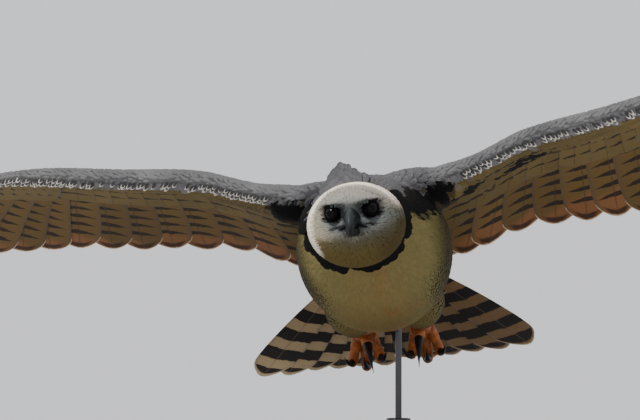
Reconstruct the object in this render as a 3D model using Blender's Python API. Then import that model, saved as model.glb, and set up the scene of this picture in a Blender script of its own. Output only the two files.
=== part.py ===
"""A life-size harpy eagle gliding head-on, wings and tail spread, on a plain display stand.

The bird is modelled in its own frame, in metres: +X is its left, +Y its tail, +Z its back, with the
origin at the middle of the body. The FLIGHT matrix then banks it on the stand, whose base is centred
on the world's origin.
"""

import math

import bmesh
import bpy
from mathutils import Matrix, Vector

# Driving dimensions of the pose and of the stand
PITCH_UP = 16.0
ROLL_LEFT_UP = 6.5
YAW = -3.5
BODY_HEIGHT = 0.290
BODY_FROM_ROD = (-0.036, -0.055)
BASE_RADIUS = 0.185
BASE_THICK = 0.026
ROD_RADIUS = 0.005
COLLAR_RADIUS = 0.019
COLLAR_HEIGHT = 0.012
GAP = 0.0003
SLIVER = 0.00001

# Driving dimensions of the bird
FLIGHT_VANE = 0.0007
COVERT_VANE = 0.0006
VANE_TILT = 0.0018
HAND_TILT = 0.0034
WRIST_X = 0.455
WRIST_Y = -0.160
WRIST_LINE = 7.4
HEAD_AT = (-0.010, -0.260, -0.022)
HEAD_TURN = (14.0, -3.0)
HEAD_HALF = (0.0745, 0.0645)
FACE_DEPTH = 0.050
NAPE_DEPTH = 0.066
NAPE_CUT = 0.028
BREAST_CUT = -0.152
EYE_AT = (0.0275, -0.0425, 0.0200)
EYE_RADIUS = 0.0115
EYE_TURN = 28.0
SECONDARIES = 9
PRIMARIES = 10
TAIL_FEATHERS = 12
TAIL_FAN = (0.0, 0.100, 0.053)
TAIL_START = 0.115
TAIL_LENGTH = 0.374
TAIL_SPREAD = 25.5
TAIL_DROP = 9.5
TAIL_TURN = 1.8
TAIL_TILT = 0.004
CREST_FEATHERS = 7
CREST_LENGTH = 0.104
CREST_RISE = 42.0
RUFF_FEATHERS = 15
RUFF_AT = (-0.018, 0.000)

FLIGHT = (
    Matrix.Translation((*BODY_FROM_ROD, BODY_HEIGHT))
    @ Matrix.Rotation(math.radians(-ROLL_LEFT_UP), 4, "Y")
    @ Matrix.Rotation(math.radians(-PITCH_UP), 4, "X")
    @ Matrix.Rotation(math.radians(YAW), 4, "Z")
)

# Body sections from breast to vent: share of the length, y, middle z, half width, height up, depth down
BODY_SECTIONS = (
    (0.00, -0.205, 0.012, 0.000, 0.000, 0.000),
    (0.06, -0.185, 0.011, 0.062, 0.058, 0.058),
    (0.13, -0.150, 0.010, 0.079, 0.073, 0.075),
    (0.22, -0.112, 0.007, 0.098, 0.089, 0.093),
    (0.34, -0.068, 0.002, 0.116, 0.108, 0.110),
    (0.47, 0.000, 0.000, 0.121, 0.106, 0.117),
    (0.60, 0.075, 0.002, 0.107, 0.092, 0.108),
    (0.72, 0.140, 0.006, 0.084, 0.068, 0.086),
    (0.83, 0.190, 0.016, 0.066, 0.042, 0.062),
    (0.92, 0.226, 0.025, 0.052, 0.024, 0.036),
    (1.00, 0.250, 0.028, 0.000, 0.000, 0.000),
)

# Front edge of the wing: x, y, middle z, thickness of the arm
WING_FRONT = (
    (0.030, -0.093, 0.060, 0.044),
    (0.100, -0.100, 0.079, 0.046),
    (0.170, -0.108, 0.092, 0.042),
    (0.250, -0.124, 0.116, 0.042),
    (0.370, -0.143, 0.130, 0.038),
    (0.460, -0.153, 0.143, 0.034),
    (0.520, -0.151, 0.151, 0.026),
    (0.600, -0.136, 0.158, 0.016),
    (0.660, -0.118, 0.162, 0.009),
    (0.850, -0.060, 0.178, 0.004),
    (1.020, 0.000, 0.212, 0.003),
)

# How far the rear of each wing hangs below its front, per chord: x, right wing, left wing
WING_HANG = (
    (0.040, 0.030, 0.044),
    (0.130, 0.030, 0.044),
    (0.190, 0.012, 0.038),
    (0.270, 0.006, 0.040),
    (0.340, 0.005, 0.050),
    (0.460, 0.005, 0.060),
    (0.700, 0.012, 0.056),
    (1.020, 0.020, 0.050),
)

# Rear edge of the arm's flesh: x, y
ARM_REAR = (
    (0.040, 0.062),
    (0.100, 0.056),
    (0.190, 0.046),
    (0.300, 0.002),
    (0.400, -0.042),
    (0.460, -0.060),
    (0.520, -0.086),
    (0.600, -0.106),
    (0.660, -0.112),
)

# Feather rows along the wing: share from the first to the last, root x, root y, lean, length, half width
SECONDARY_ROW = (
    (0.00, 0.442, -0.080, 6.5, 0.330, 0.037),
    (0.50, 0.292, -0.022, -3.0, 0.276, 0.036),
    (0.80, 0.198, 0.018, -12.0, 0.238, 0.035),
    (1.00, 0.140, 0.024, -9.0, 0.218, 0.034),
)
PRIMARY_ROW = (
    (0.00, 0.470, -0.086, 12.5, 0.338, 0.037),
    (0.33, 0.514, -0.098, 28.0, 0.382, 0.035),
    (0.60, 0.552, -0.108, 48.0, 0.430, 0.032),
    (0.80, 0.584, -0.114, 65.0, 0.440, 0.029),
    (1.00, 0.616, -0.124, 80.0, 0.350, 0.023),
)
UPPER_COVERT_ROW = (
    (0.00, 0.436, -0.088, 8.0, 0.150, 0.031),
    (0.50, 0.300, -0.036, -3.0, 0.132, 0.030),
    (1.00, 0.140, 0.014, -10.0, 0.122, 0.028),
)
UNDER_COVERT_ROW = (
    (0.00, 0.436, -0.088, 7.0, 0.122, 0.029),
    (0.50, 0.300, -0.036, -4.0, 0.108, 0.028),
    (1.00, 0.150, 0.014, -12.0, 0.098, 0.027),
)
MEDIAN_COVERT_ROW = (
    (0.00, 0.436, -0.108, 12.0, 0.080, 0.023),
    (0.50, 0.300, -0.070, 0.0, 0.086, 0.023),
    (1.00, 0.140, -0.030, -8.0, 0.092, 0.023),
)
UPPER_HAND_ROW = (
    (0.00, 0.478, -0.094, 16.0, 0.142, 0.026),
    (0.50, 0.520, -0.110, 42.0, 0.150, 0.023),
    (1.00, 0.590, -0.121, 76.0, 0.130, 0.017),
)
UNDER_HAND_ROW = (
    (0.00, 0.478, -0.094, 15.0, 0.118, 0.026),
    (0.50, 0.520, -0.110, 40.0, 0.125, 0.023),
    (1.00, 0.586, -0.119, 74.0, 0.108, 0.017),
)

# Half width of a vane along its length, as a share of its greatest
BROAD_VANE = ((0.0, 0.32), (0.30, 0.88), (0.62, 1.00), (0.89, 0.90), (1.0, 0.46))
FINGER_VANE = ((0.0, 0.34), (0.30, 0.96), (0.52, 0.90), (0.80, 0.56), (1.0, 0.22))
TAIL_VANE = ((0.0, 0.16), (0.30, 0.62), (0.60, 0.90), (0.90, 1.00), (1.0, 0.60))
COVERT_SHAPE = ((0.0, 0.50), (0.40, 0.95), (0.80, 0.90), (1.0, 0.42))
CREST_SHAPE = ((0.0, 0.55), (0.45, 1.00), (0.80, 0.80), (1.0, 0.20))


def along(stations, key):
    """The values at key, read as one smooth curve through stations of (key, value, ...)."""
    key = min(max(key, stations[0][0]), stations[-1][0])
    last = len(stations) - 2
    i = next((n for n in range(last + 1) if key <= stations[n + 1][0]), last)
    before, a, b, after = (stations[min(max(n, 0), last + 1)] for n in (i - 1, i, i + 1, i + 2))
    step = b[0] - a[0]
    t = (key - a[0]) / step
    values = []
    for p, q, r, s in zip(before[1:], a[1:], b[1:], after[1:]):
        slope_a = (r - p) / (b[0] - before[0]) * step
        slope_b = (s - q) / (after[0] - a[0]) * step
        bend = 2 * q - 2 * r + slope_a + slope_b
        values.append(q + t * (slope_a + t * (3 * (r - q) - 2 * slope_a - slope_b + t * bend)))
    return values


def hill(distance, spread):
    """A smooth bump of height 1."""
    return math.exp(-((distance / spread) ** 2))


def clear_scene():
    for obj in list(bpy.data.objects):
        bpy.data.objects.remove(obj)


def material(name, colour, roughness, metallic=0.0):
    made = bpy.data.materials.new(name)
    made.use_nodes = True
    shader = made.node_tree.nodes["Principled BSDF"]
    shader.inputs["Base Color"].default_value = (*colour, 1.0)
    shader.inputs["Roughness"].default_value = roughness
    shader.inputs["Metallic"].default_value = metallic
    return made


def object_from(bm, name, matrix=None):
    """The bmesh as a named object, moved by matrix, with its faces pointing out."""
    bmesh.ops.triangulate(bm, faces=bm.faces)
    bmesh.ops.recalc_face_normals(bm, faces=bm.faces)
    if bm.calc_volume(signed=True) < 0:
        bmesh.ops.reverse_faces(bm, faces=bm.faces)
    if matrix is not None:
        bm.transform(matrix)
    mesh = bpy.data.meshes.new(name)
    bm.to_mesh(mesh)
    bm.free()
    obj = bpy.data.objects.new(name, mesh)
    bpy.context.scene.collection.objects.link(obj)
    return obj


def ball(name, around, rings, place, matrix=None):
    """A closed ball shaped by place(share from pole to pole, turn)."""
    bm = bmesh.new()
    bmesh.ops.create_uvsphere(bm, u_segments=around, v_segments=rings, radius=1)
    for v in bm.verts:
        share = math.acos(max(-1.0, min(1.0, v.co.z))) / math.pi
        v.co = place(share, math.atan2(v.co.y, v.co.x))
    return object_from(bm, name, matrix)


def ring(name, place, around, about, matrix=None):
    """A closed ring shaped by place(u from -1 to 1 round it, v from 0 to 1 about its section)."""
    bm = bmesh.new()
    bmesh.ops.create_grid(bm, x_segments=around, y_segments=about, size=1)
    for v in bm.verts:
        v.co = place(v.co.x, (v.co.y + 1) / 2)
    bmesh.ops.remove_doubles(bm, verts=bm.verts, dist=1e-6)
    return object_from(bm, name, matrix)


def apply_modifier(obj, kind, **settings):
    modifier = obj.modifiers.new(kind.title(), kind)
    for key, value in settings.items():
        setattr(modifier, key, value)
    graph = bpy.context.evaluated_depsgraph_get()
    mesh = bpy.data.meshes.new_from_object(obj.evaluated_get(graph))
    obj.modifiers.clear()
    obj.data = mesh


def keep_largest(obj):
    """Drops every closed surface of the object but the one with the most faces, and its slivers."""
    bm = bmesh.new()
    bm.from_mesh(obj.data)
    left, islands = set(bm.faces), []
    while left:
        heap, island = [left.pop()], []
        while heap:
            face = heap.pop()
            island.append(face)
            near = {other for e in face.edges for other in e.link_faces} & left
            left -= near
            heap.extend(near)
        islands.append(island)
    islands.sort(key=len)
    bmesh.ops.delete(bm, geom=[face for island in islands[:-1] for face in island], context="FACES")
    bmesh.ops.remove_doubles(bm, verts=bm.verts, dist=SLIVER * 2)
    bmesh.ops.dissolve_degenerate(bm, dist=SLIVER, edges=bm.edges)
    bmesh.ops.triangulate(bm, faces=bm.faces)
    bm.to_mesh(obj.data)
    bm.free()


def fuse(name, core, pieces, solver="EXACT"):
    """Joins the pieces to the core as one closed body."""
    group = bpy.data.collections.new(name + "_pieces")
    bpy.context.scene.collection.children.link(group)
    for piece in pieces:
        bpy.context.scene.collection.objects.unlink(piece)
        group.objects.link(piece)
    apply_modifier(
        core, "BOOLEAN", operation="UNION", operand_type="COLLECTION", collection=group, solver=solver
    )
    for piece in pieces:
        bpy.data.objects.remove(piece)
    bpy.data.collections.remove(group)
    core.name = name
    keep_largest(core)
    return core


def cut(obj, cutter, solver="EXACT", keep_cutter=False):
    apply_modifier(obj, "BOOLEAN", operation="DIFFERENCE", object=cutter, solver=solver)
    if not keep_cutter:
        bpy.data.objects.remove(cutter)
    keep_largest(obj)


def swollen(obj, by=GAP):
    """A copy of the object grown outwards, for cutting its neighbours clear of it."""
    copy = bpy.data.objects.new(obj.name + "_room", obj.data.copy())
    bpy.context.scene.collection.objects.link(copy)
    bm = bmesh.new()
    bm.from_mesh(copy.data)
    bm.normal_update()
    moves = [(v, v.normal * by * min(v.calc_shell_factor(), 2.0)) for v in bm.verts]
    for v, move in moves:
        v.co += move
    bm.to_mesh(copy.data)
    bm.free()
    return copy


def clear_of(obj, *neighbours, by=GAP, solver="EXACT"):
    for neighbour in neighbours:
        cut(obj, swollen(neighbour, by), solver)


def slab(name, point, normal, size=3.0):
    """A block that fills the far side of a plane, for a straight parting cut."""
    bm = bmesh.new()
    bmesh.ops.create_cube(bm, size=size)
    turn = Vector(normal).to_track_quat("Z", "Y").to_matrix().to_4x4()
    centre = Vector(point) + Vector(normal) * size / 2
    return object_from(bm, name, Matrix.Translation(centre) @ turn)


def part_at(front, rear, point, normal):
    """Parts two bodies that run into each other by a straight cut, each keeping its own side."""
    cut(front, slab("rear_side", point - normal * GAP / 2, normal))
    cut(rear, slab("front_side", point + normal * GAP / 2, -normal))


def sheet(name, place, across, lengthwise, thick):
    """A thin vane: a flat grid laid by place(u from -1 to 1, v from 0 to 1), then given its thickness."""
    bm = bmesh.new()
    bmesh.ops.create_grid(bm, x_segments=across, y_segments=lengthwise, size=1)
    bmesh.ops.triangulate(bm, faces=bm.faces)
    for v in bm.verts:
        v.co = place(v.co.x, 1 - ((1 - v.co.y) / 2) ** 1.6)
    bm.normal_update()
    bmesh.ops.solidify(bm, geom=bm.faces, thickness=thick)
    return object_from(bm, name)


def body_surface():
    """The torso with its breast, belly and rump."""

    def place(share, turn):
        y, middle, half, up, down = along(BODY_SECTIONS, share)
        reach = up if math.sin(turn) > 0 else down
        return Vector((half * math.cos(turn), y, middle + reach * math.sin(turn)))

    return ball("torso", 24, 18, place)


def wing_middle(side, x, y):
    """Height of a wing's middle surface over its plan, with the camber of its section."""
    front, height, _ = along(WING_FRONT, x)
    chord = (y - front) / 0.40
    camber = 0.020 * math.sin(math.pi * min(max(chord, 0.0), 1.05) ** 0.72)
    hang = along(WING_HANG, x)[side > 0]
    return height + camber * (1 - max(0.0, x - 0.5)) - hang * max(chord, 0.0)


def wing_point(side, x, y, offset):
    return Vector((side * x, y, wing_middle(side, x, y) + offset))


def arm_half_thickness(share, thick):
    """Half thickness of the arm's section, from its round front to its thin rear."""
    nose, rear = 0.30, 0.0050
    if share < nose:
        return thick / 2 * math.sqrt(max(0.0, 1 - (1 - share / nose) ** 2))
    taper = thick / 2 + (min(rear, thick / 2) - thick / 2) * (share - nose) / (1 - nose)
    closing = max(0.0, (share - 0.92) / 0.08)
    return taper * math.sqrt(max(0.0, 1 - closing**2))


def arm(side):
    """The flesh of the whole wing, from the shoulder to the tip of the hand."""
    inner, outer = 0.030, 0.655

    def place(share, turn):
        x = inner + (outer - inner) * share
        front, _, thick = along(WING_FRONT, x)
        (rear,) = along(ARM_REAR, x)
        back = (1 - math.cos(turn)) / 2
        close = math.sqrt(max(0.0, 1 - max(0.0, (share - 0.90) / 0.10) ** 2)) if share > 0.9 else 1.0
        close *= min(1.0, share / 0.02)
        middle = (front + rear) / 2
        y = middle + (front + (rear - front) * back - middle) * close
        half = arm_half_thickness(back, thick) * close
        return wing_point(side, x, y, math.copysign(half, math.sin(turn)) if abs(math.sin(turn)) > 1e-6 else 0.0)

    return ball("arm", 12, 15, place)


def wing_vane(name, side, root, lean, length, half, shape, heights, thick, grid, tilt=VANE_TILT, bend=0.0):
    """One feather of the wing, laid in plan from its root and lifted on to the wing's middle surface."""

    def place(u, v):
        angle = math.radians(lean - bend * (v - 0.5))
        forth = Vector((math.sin(angle), math.cos(angle)))
        right = Vector((math.cos(angle), -math.sin(angle)))
        (width,) = along(shape, v)
        tip_drop = 0.31 * half * abs(u) if v > 0.99 else 0.0
        spot = Vector(root) + forth * (length * v - tip_drop) + right * (half * width * u)
        lift = heights[0] + (heights[1] - heights[0]) * v + tilt * u * width
        return wing_point(side, spot.x, spot.y, lift)

    return sheet(name, place, grid[0], grid[1], thick)


def feather_row(name, side, row, count, shape, heights, thick, grid):
    vanes = []
    for n in range(count):
        x, y, lean, length, half = along(row, n / (count - 1))
        vane = f"{name}_{n}"
        vanes.append(wing_vane(vane, side, (x, y), lean, length, half, shape, heights, thick, grid))
    return vanes


def primary_vanes(side):
    vanes = []
    for n in range(PRIMARIES):
        x, y, lean, length, half = along(PRIMARY_ROW, n / (PRIMARIES - 1))
        shape = FINGER_VANE if n >= PRIMARIES - 6 else BROAD_VANE
        vanes.append(
            wing_vane(
                f"p{n}", side, (x, y), lean, length, half, shape, (0.0, 0.0), FLIGHT_VANE, (2, 4), HAND_TILT, 6.0
            )
        )
    return vanes


def wing(side, torso):
    """The inner and outer halves of one wing, parted at the wrist along the line between their feathers."""
    word = "left" if side > 0 else "right"
    inner, outer = arm(side), arm(side)
    inner_vanes = [
        *feather_row("s", side, SECONDARY_ROW, SECONDARIES, BROAD_VANE, (0, 0), FLIGHT_VANE, (2, 4)),
        *feather_row("gu", side, UPPER_COVERT_ROW, 8, COVERT_SHAPE, (0.006, 0.005), COVERT_VANE, (1, 3)),
        *feather_row("gl", side, UNDER_COVERT_ROW, 7, COVERT_SHAPE, (-0.006, -0.005), COVERT_VANE, (1, 3)),
        *feather_row("mu", side, MEDIAN_COVERT_ROW, 8, COVERT_SHAPE, (0.0118, 0.0108), COVERT_VANE, (1, 3)),
    ]
    outer_vanes = [
        *primary_vanes(side),
        *feather_row("pu", side, UPPER_HAND_ROW, 6, COVERT_SHAPE, (0.0066, 0.0066), COVERT_VANE, (1, 3)),
        *feather_row("pl", side, UNDER_HAND_ROW, 5, COVERT_SHAPE, (-0.0084, -0.0084), COVERT_VANE, (1, 3)),
        wing_vane("alula", side, (0.478, -0.134), 66.0, 0.130, 0.017, COVERT_SHAPE, (0.0085, 0.0130), COVERT_VANE, (1, 3)),
    ]
    fuse(f"wing_{word}_inner", inner, inner_vanes, "MANIFOLD")
    fuse(f"wing_{word}_outer", outer, outer_vanes, "MANIFOLD")
    lean = math.radians(WRIST_LINE)
    away = Vector((side * math.cos(lean), -math.sin(lean), 0.0))
    wrist = Vector((side * WRIST_X, WRIST_Y, 0.0))
    cut(inner, slab("beyond_wrist", wrist - away * GAP / 2, away), "MANIFOLD")
    cut(outer, slab("within_wrist", wrist + away * GAP / 2, -away), "MANIFOLD")
    clear_of(inner, torso, solver="MANIFOLD")
    return inner, outer


def tail(torso):
    """The tail: its root and a fan of long feathers, with coverts over and under."""
    fan = (
        Matrix.Translation(TAIL_FAN)
        @ Matrix.Rotation(math.radians(TAIL_TURN), 4, "Z")
        @ Matrix.Rotation(math.radians(-TAIL_DROP), 4, "X")
    )

    def place_root(share, turn):
        swell = math.sin(math.pi * share)
        half, thick = 0.057 * swell**0.6, 0.017 * swell**0.7
        return Vector((half * math.cos(turn), 0.082 + 0.108 * share, thick * math.sin(turn)))

    def tail_vane(name, lean, length, half, shape, start, height, thick, grid, tilt, side=0):
        def place(u, v):
            angle = math.radians(lean)
            forth = Vector((math.sin(angle), math.cos(angle)))
            right = Vector((math.cos(angle), -math.sin(angle)))
            (width,) = along(shape, v)
            tip_drop = 0.014 * abs(u) if v > 0.99 else 0.0
            shaft = forth * (start + length * v)
            out = shaft - forth * tip_drop + right * (half * width * u)
            if side:
                out.x = side * max(side * out.x, GAP * 2)
            lift = height + tilt * (out - shaft).dot(right) / half - 0.10 * (out.x**2 + 0.02 * abs(out.x))
            return fan @ Vector((out.x, out.y, lift))

        return sheet(name, place, grid[0], grid[1], thick)

    core = ball("tail", 14, 8, place_root, fan)
    vanes = []
    for n in range(TAIL_FEATHERS):
        spread = (2 * n - TAIL_FEATHERS + 1) / (TAIL_FEATHERS - 1)
        side = int(math.copysign(1, spread)) if n != TAIL_FEATHERS // 2 else 0
        length = TAIL_LENGTH + 0.024 * spread**2
        height, tilt = (0.0, side * TAIL_TILT) if side else (0.005, 0.0)
        lean = TAIL_SPREAD * spread
        vanes.append(
            tail_vane(f"r{n}", lean, length, 0.034, TAIL_VANE, TAIL_START, height, FLIGHT_VANE, (2, 4), tilt, side)
        )
    for n in range(5):
        lean = 19 * (n - 2) / 2
        for name, height in (("over", 0.0120), ("under", -0.0090)):
            vane = f"{name}{n}"
            vanes.append(
                tail_vane(vane, lean, 0.135, 0.028, COVERT_SHAPE, 0.125, height, COVERT_VANE, (1, 3), 0.0025)
            )
    fuse("tail", core, vanes, "MANIFOLD")
    clear_of(core, torso, solver="MANIFOLD")
    return core


def head_frame():
    tilt, turn = HEAD_TURN
    return (
        Matrix.Translation(HEAD_AT)
        @ Matrix.Rotation(math.radians(tilt), 4, "X")
        @ Matrix.Rotation(math.radians(turn), 4, "Z")
    )


def head_surface():
    """The head as a broad disc of face with brow, eye hollows and the base of the bill."""
    half_x, half_z = HEAD_HALF

    def place(share, turn):
        flat = math.sin(math.pi * share)
        x, z = half_x * flat * math.cos(turn), half_z * flat * math.sin(turn)
        front = share < 0.5
        rise = math.cos(math.pi * share)
        y = -FACE_DEPTH * max(0.0, rise) ** 0.72 + NAPE_DEPTH * max(0.0, -rise) ** 0.95
        if front:
            fade = max(0.0, rise) ** 0.5
            brow_x = abs(x) - 0.026
            y -= fade * 0.012 * hill(x, 0.034) * hill(z - 0.040, 0.020)
            y -= fade * 0.008 * hill(brow_x, 0.015) * hill(z - 0.036 + 0.25 * brow_x, 0.007)
            y += fade * 0.011 * hill(brow_x, 0.013) * hill(z - 0.019, 0.012)
            y -= fade * 0.012 * hill(x, 0.016) * hill(z - 0.010, 0.018)
            y -= fade * 0.010 * hill(x, 0.026) * hill(z + 0.010, 0.012)
            y -= fade * 0.004 * hill(flat - 0.90, 0.07)
        return Vector((x, y, z))

    return ball("head", 26, 16, place, head_frame())


def crest_vanes():
    """The double crest, half raised behind the crown: vanes in two layers of one bowed surface."""
    frame = head_frame()
    rise = math.radians(CREST_RISE)
    vanes = []
    for n in range(CREST_FEATHERS):
        spread = (2 * n - CREST_FEATHERS + 1) / (CREST_FEATHERS - 1)
        lean = math.radians(13 * spread - 9)
        length = CREST_LENGTH * (1 - 0.16 * abs(spread + 0.15))

        def place(u, v, spread=spread, lean=lean, length=length):
            (width,) = along(CREST_SHAPE, v)
            p = 0.016 * spread + math.sin(lean) * length * v + math.cos(lean) * 0.0105 * width * u
            q = math.cos(lean) * length * v - math.sin(lean) * 0.0105 * width * u
            bow = 5.0 * p * p + 1.0 * q * q
            up = Vector((0, -math.sin(rise), math.cos(rise)))
            layer = 0.0030 * width * u
            return Vector((p - 0.004, -0.004 + q * math.cos(rise), 0.040 + q * math.sin(rise))) + up * (layer - bow)

        vane = sheet(f"crest_{n}", place, 1, 3, COVERT_VANE)
        vane.data.transform(frame)
        vanes.append(vane)
    return vanes


def eye_places():
    for side in (-1, 1):
        yield side, Vector((side * EYE_AT[0], EYE_AT[1], EYE_AT[2]))


def eyeball(name, spot, radius):
    bm = bmesh.new()
    bmesh.ops.create_uvsphere(bm, u_segments=12, v_segments=7, radius=radius)
    return object_from(bm, name, head_frame() @ Matrix.Translation(spot))


def eyelid(side, spot):
    """A low ring round the eye, open as an almond."""
    turn = math.radians(EYE_TURN) * side
    facing = Vector((math.sin(turn), -math.cos(turn), 0.05)).normalized()
    frame = head_frame() @ Matrix.Translation(spot + facing * 0.0050) @ facing.to_track_quat("Z", "Y").to_matrix().to_4x4()

    def place(u, v):
        around, about = math.pi * (u + 1), 2 * math.pi * v
        radius = 0.0104 + 0.0024 * math.cos(about)
        return Vector((radius * math.cos(around), 0.86 * radius * math.sin(around), 0.0024 * math.sin(about)))

    return ring(f"lid_{side}", place, 12, 4, frame)


def bill_upper():
    """Cere and hooked upper bill. Sections: share, y, z, half width, half height."""
    sections = (
        (0.00, -0.036, 0.008, 0.0000, 0.0000),
        (0.10, -0.042, 0.008, 0.0112, 0.0150),
        (0.30, -0.060, 0.009, 0.0116, 0.0160),
        (0.50, -0.074, 0.007, 0.0102, 0.0145),
        (0.68, -0.086, 0.001, 0.0078, 0.0110),
        (0.84, -0.093, -0.009, 0.0050, 0.0068),
        (0.94, -0.0925, -0.0165, 0.0026, 0.0034),
        (1.00, -0.0905, -0.0205, 0.0000, 0.0000),
    )

    def place(share, turn):
        y, z, half, high = along(sections, share)
        later = along(sections, min(1.0, share + 0.02))
        earlier = along(sections, max(0.0, share - 0.02))
        ahead = Vector((0, later[0] - earlier[0], later[1] - earlier[1])).normalized()
        up = Vector((0, ahead.z, -ahead.y))
        narrow = 1.0 - 0.35 * max(0.0, math.sin(turn)) ** 2
        return Vector((half * math.cos(turn) * narrow, y, z)) + up * (high * math.sin(turn))

    return ball("bill_upper", 10, 11, place, head_frame())


def bill_lower():
    """The shorter lower bill, closed against the upper one."""
    sections = (
        (0.00, -0.034, -0.0110, 0.0000, 0.0000),
        (0.15, -0.044, -0.0110, 0.0105, 0.0066),
        (0.50, -0.062, -0.0105, 0.0096, 0.0068),
        (0.80, -0.075, -0.0100, 0.0068, 0.0046),
        (1.00, -0.0820, -0.0090, 0.0000, 0.0000),
    )

    def place(share, turn):
        y, z, half, high = along(sections, share)
        return Vector((half * math.cos(turn), y, z + high * math.sin(turn)))

    return ball("bill_lower", 8, 7, place, head_frame())


def head_group():
    head, nape = head_surface(), neck_surface()
    part_at(head, nape, head_frame() @ Vector((0, NAPE_CUT, 0)), head_frame().to_3x3() @ Vector((0, 1, 0)))
    pieces = [eyelid(side, spot) for side, spot in eye_places()] + crest_vanes()
    fuse("head", head, pieces, "MANIFOLD")
    eyes = []
    for side, spot in eye_places():
        cut(head, eyeball("socket", spot, EYE_RADIUS + GAP), "MANIFOLD")
        eyes.append(eyeball("eye_left" if side > 0 else "eye_right", spot, EYE_RADIUS))
    upper, lower = bill_upper(), bill_lower()
    mouth = ball("mouth", 12, 4, lambda share, turn: Vector((
        0.0300 * math.sin(math.pi * share) * math.cos(turn),
        -0.033 + 0.034 * math.sin(math.pi * share) * math.sin(turn),
        -0.0060 + 0.0012 * math.cos(math.pi * share))), head_frame())
    cut(head, mouth, "MANIFOLD")
    for side in (-1, 1):
        nostril = ball("nostril", 6, 4, lambda share, turn, side=side: Vector((
            side * 0.0118 + 0.0035 * math.sin(math.pi * share) * math.cos(turn),
            -0.0625 + 0.0022 * math.sin(math.pi * share) * math.sin(turn) + 0.0012 * math.cos(math.pi * share),
            0.0125 + 0.0036 * math.cos(math.pi * share))), head_frame())
        cut(upper, nostril)
    clear_of(lower, upper, by=GAP * 2, solver="MANIFOLD")
    clear_of(head, upper, lower, solver="MANIFOLD")
    return nape, [head, upper, lower, *eyes]


def neck_surface():
    sections = (
        (0.00, -0.262, -0.024, 0.000, 0.000, 0.000),
        (0.10, -0.250, -0.018, 0.060, 0.052, 0.056),
        (0.35, -0.215, -0.008, 0.065, 0.060, 0.062),
        (0.65, -0.165, 0.005, 0.072, 0.070, 0.069),
        (0.90, -0.120, 0.010, 0.080, 0.078, 0.074),
        (1.00, -0.105, 0.010, 0.000, 0.000, 0.000),
    )

    def place(share, turn):
        y, middle, half, up, down = along(sections, share)
        reach = up if math.sin(turn) > 0 else down
        return Vector((-0.014 * (1 - share) + half * math.cos(turn), y, middle + reach * math.sin(turn)))

    return ball("neck", 22, 6, place)


def neck(made, torso):
    """The thick neck with its dark ruff, parted from the torso."""
    part_at(made, torso, Vector((0, BREAST_CUT, 0)), Vector((0, 1, 0)))
    vanes = []
    for n in range(RUFF_FEATHERS):
        turn = math.radians(-198 + 216 * n / (RUFF_FEATHERS - 1))
        layer = 0.0034 * (n % 2)

        def lay(u, v, turn=turn, layer=layer):
            (width,) = along(COVERT_SHAPE, v)
            angle = turn + 0.20 * width * u
            radius = 0.047 + 0.030 * v + 0.006 * math.sin(math.pi * v) + layer
            x, z = RUFF_AT[0] + radius * math.cos(angle), RUFF_AT[1] + radius * math.sin(angle)
            return Vector((x, -0.231 - math.tan(math.radians(HEAD_TURN[0])) * z + 0.038 * v, z))

        vanes.append(sheet(f"ruff_{n}", lay, 1, 2, COVERT_VANE))
    fuse("neck", made, vanes, "MANIFOLD")
    return made


def thigh(side, torso):
    """The feathered thigh, tucked back along the belly."""
    hip = Vector((side * 0.060, 0.040, -0.048))
    ankle = Vector((side * 0.050, 0.192, -0.062))
    sections = ((0.0, 0.0), (0.12, 0.030), (0.40, 0.040), (0.70, 0.032), (0.90, 0.020), (1.0, 0.0))
    ahead = (ankle - hip).normalized()
    right = ahead.cross(Vector((0, 0, 1))).normalized()
    up = right.cross(ahead)

    def place(share, turn):
        (radius,) = along(sections, share)
        return hip.lerp(ankle, share) + (right * math.cos(turn) + up * math.sin(turn)) * radius

    made = ball("thigh_left" if side > 0 else "thigh_right", 14, 10, place)
    clear_of(made, torso)
    return made


def tube(name, points, radii, around, rings):
    """A closed rod with round ends through the points, its radius read along it."""
    stations = [(n / (len(points) - 1), *p) for n, p in enumerate(points)]
    thickness = [(n / (len(radii) - 1), r) for n, r in enumerate(radii)]

    def place(share, turn):
        here = Vector(along(stations, share))
        ahead = Vector(along(stations, min(1.0, share + 0.03))) - Vector(along(stations, max(0.0, share - 0.03)))
        ahead.normalize()
        right = Vector((1, 0, 0)) - ahead * ahead.x
        right.normalize()
        up = right.cross(ahead)
        (radius,) = along(thickness, share)
        end = min(share, 1 - share) / 0.06
        radius *= math.sqrt(1 - (1 - end) ** 2) if end < 1 else 1.0
        return here + (right * math.cos(turn) + up * math.sin(turn)) * radius

    return ball(name, around, rings, place)


def toe_route(joint, length, start, curl, splay, side):
    """Points along a toe that curls down and forth, drifting sideways by splay."""
    points, spot, steps = [joint.copy()], joint.copy(), 5
    for n in range(steps):
        angle = math.radians(start + curl * (n + 0.5) / steps)
        step = length / steps
        apart, ahead = math.sin(math.radians(splay)) * step, math.cos(math.radians(splay)) * step
        spot = spot + Vector((side * apart, ahead * math.cos(angle), ahead * math.sin(angle)))
        points.append(spot)
    return points, math.radians(start + curl)


# Toes: name, length, first angle, curl, splay, radius, claw length, claw curl
TOES = (
    ("inner", 0.058, 5.0, -150.0, -15.0, 0.0088, 0.050, -70.0),
    ("middle", 0.074, 15.0, -165.0, 1.0, 0.0092, 0.046, -70.0),
    ("outer", 0.060, 5.0, -150.0, 15.0, 0.0080, 0.040, -70.0),
    ("hind", 0.040, -160.0, 35.0, -5.0, 0.0098, 0.058, 50.0),
)


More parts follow.
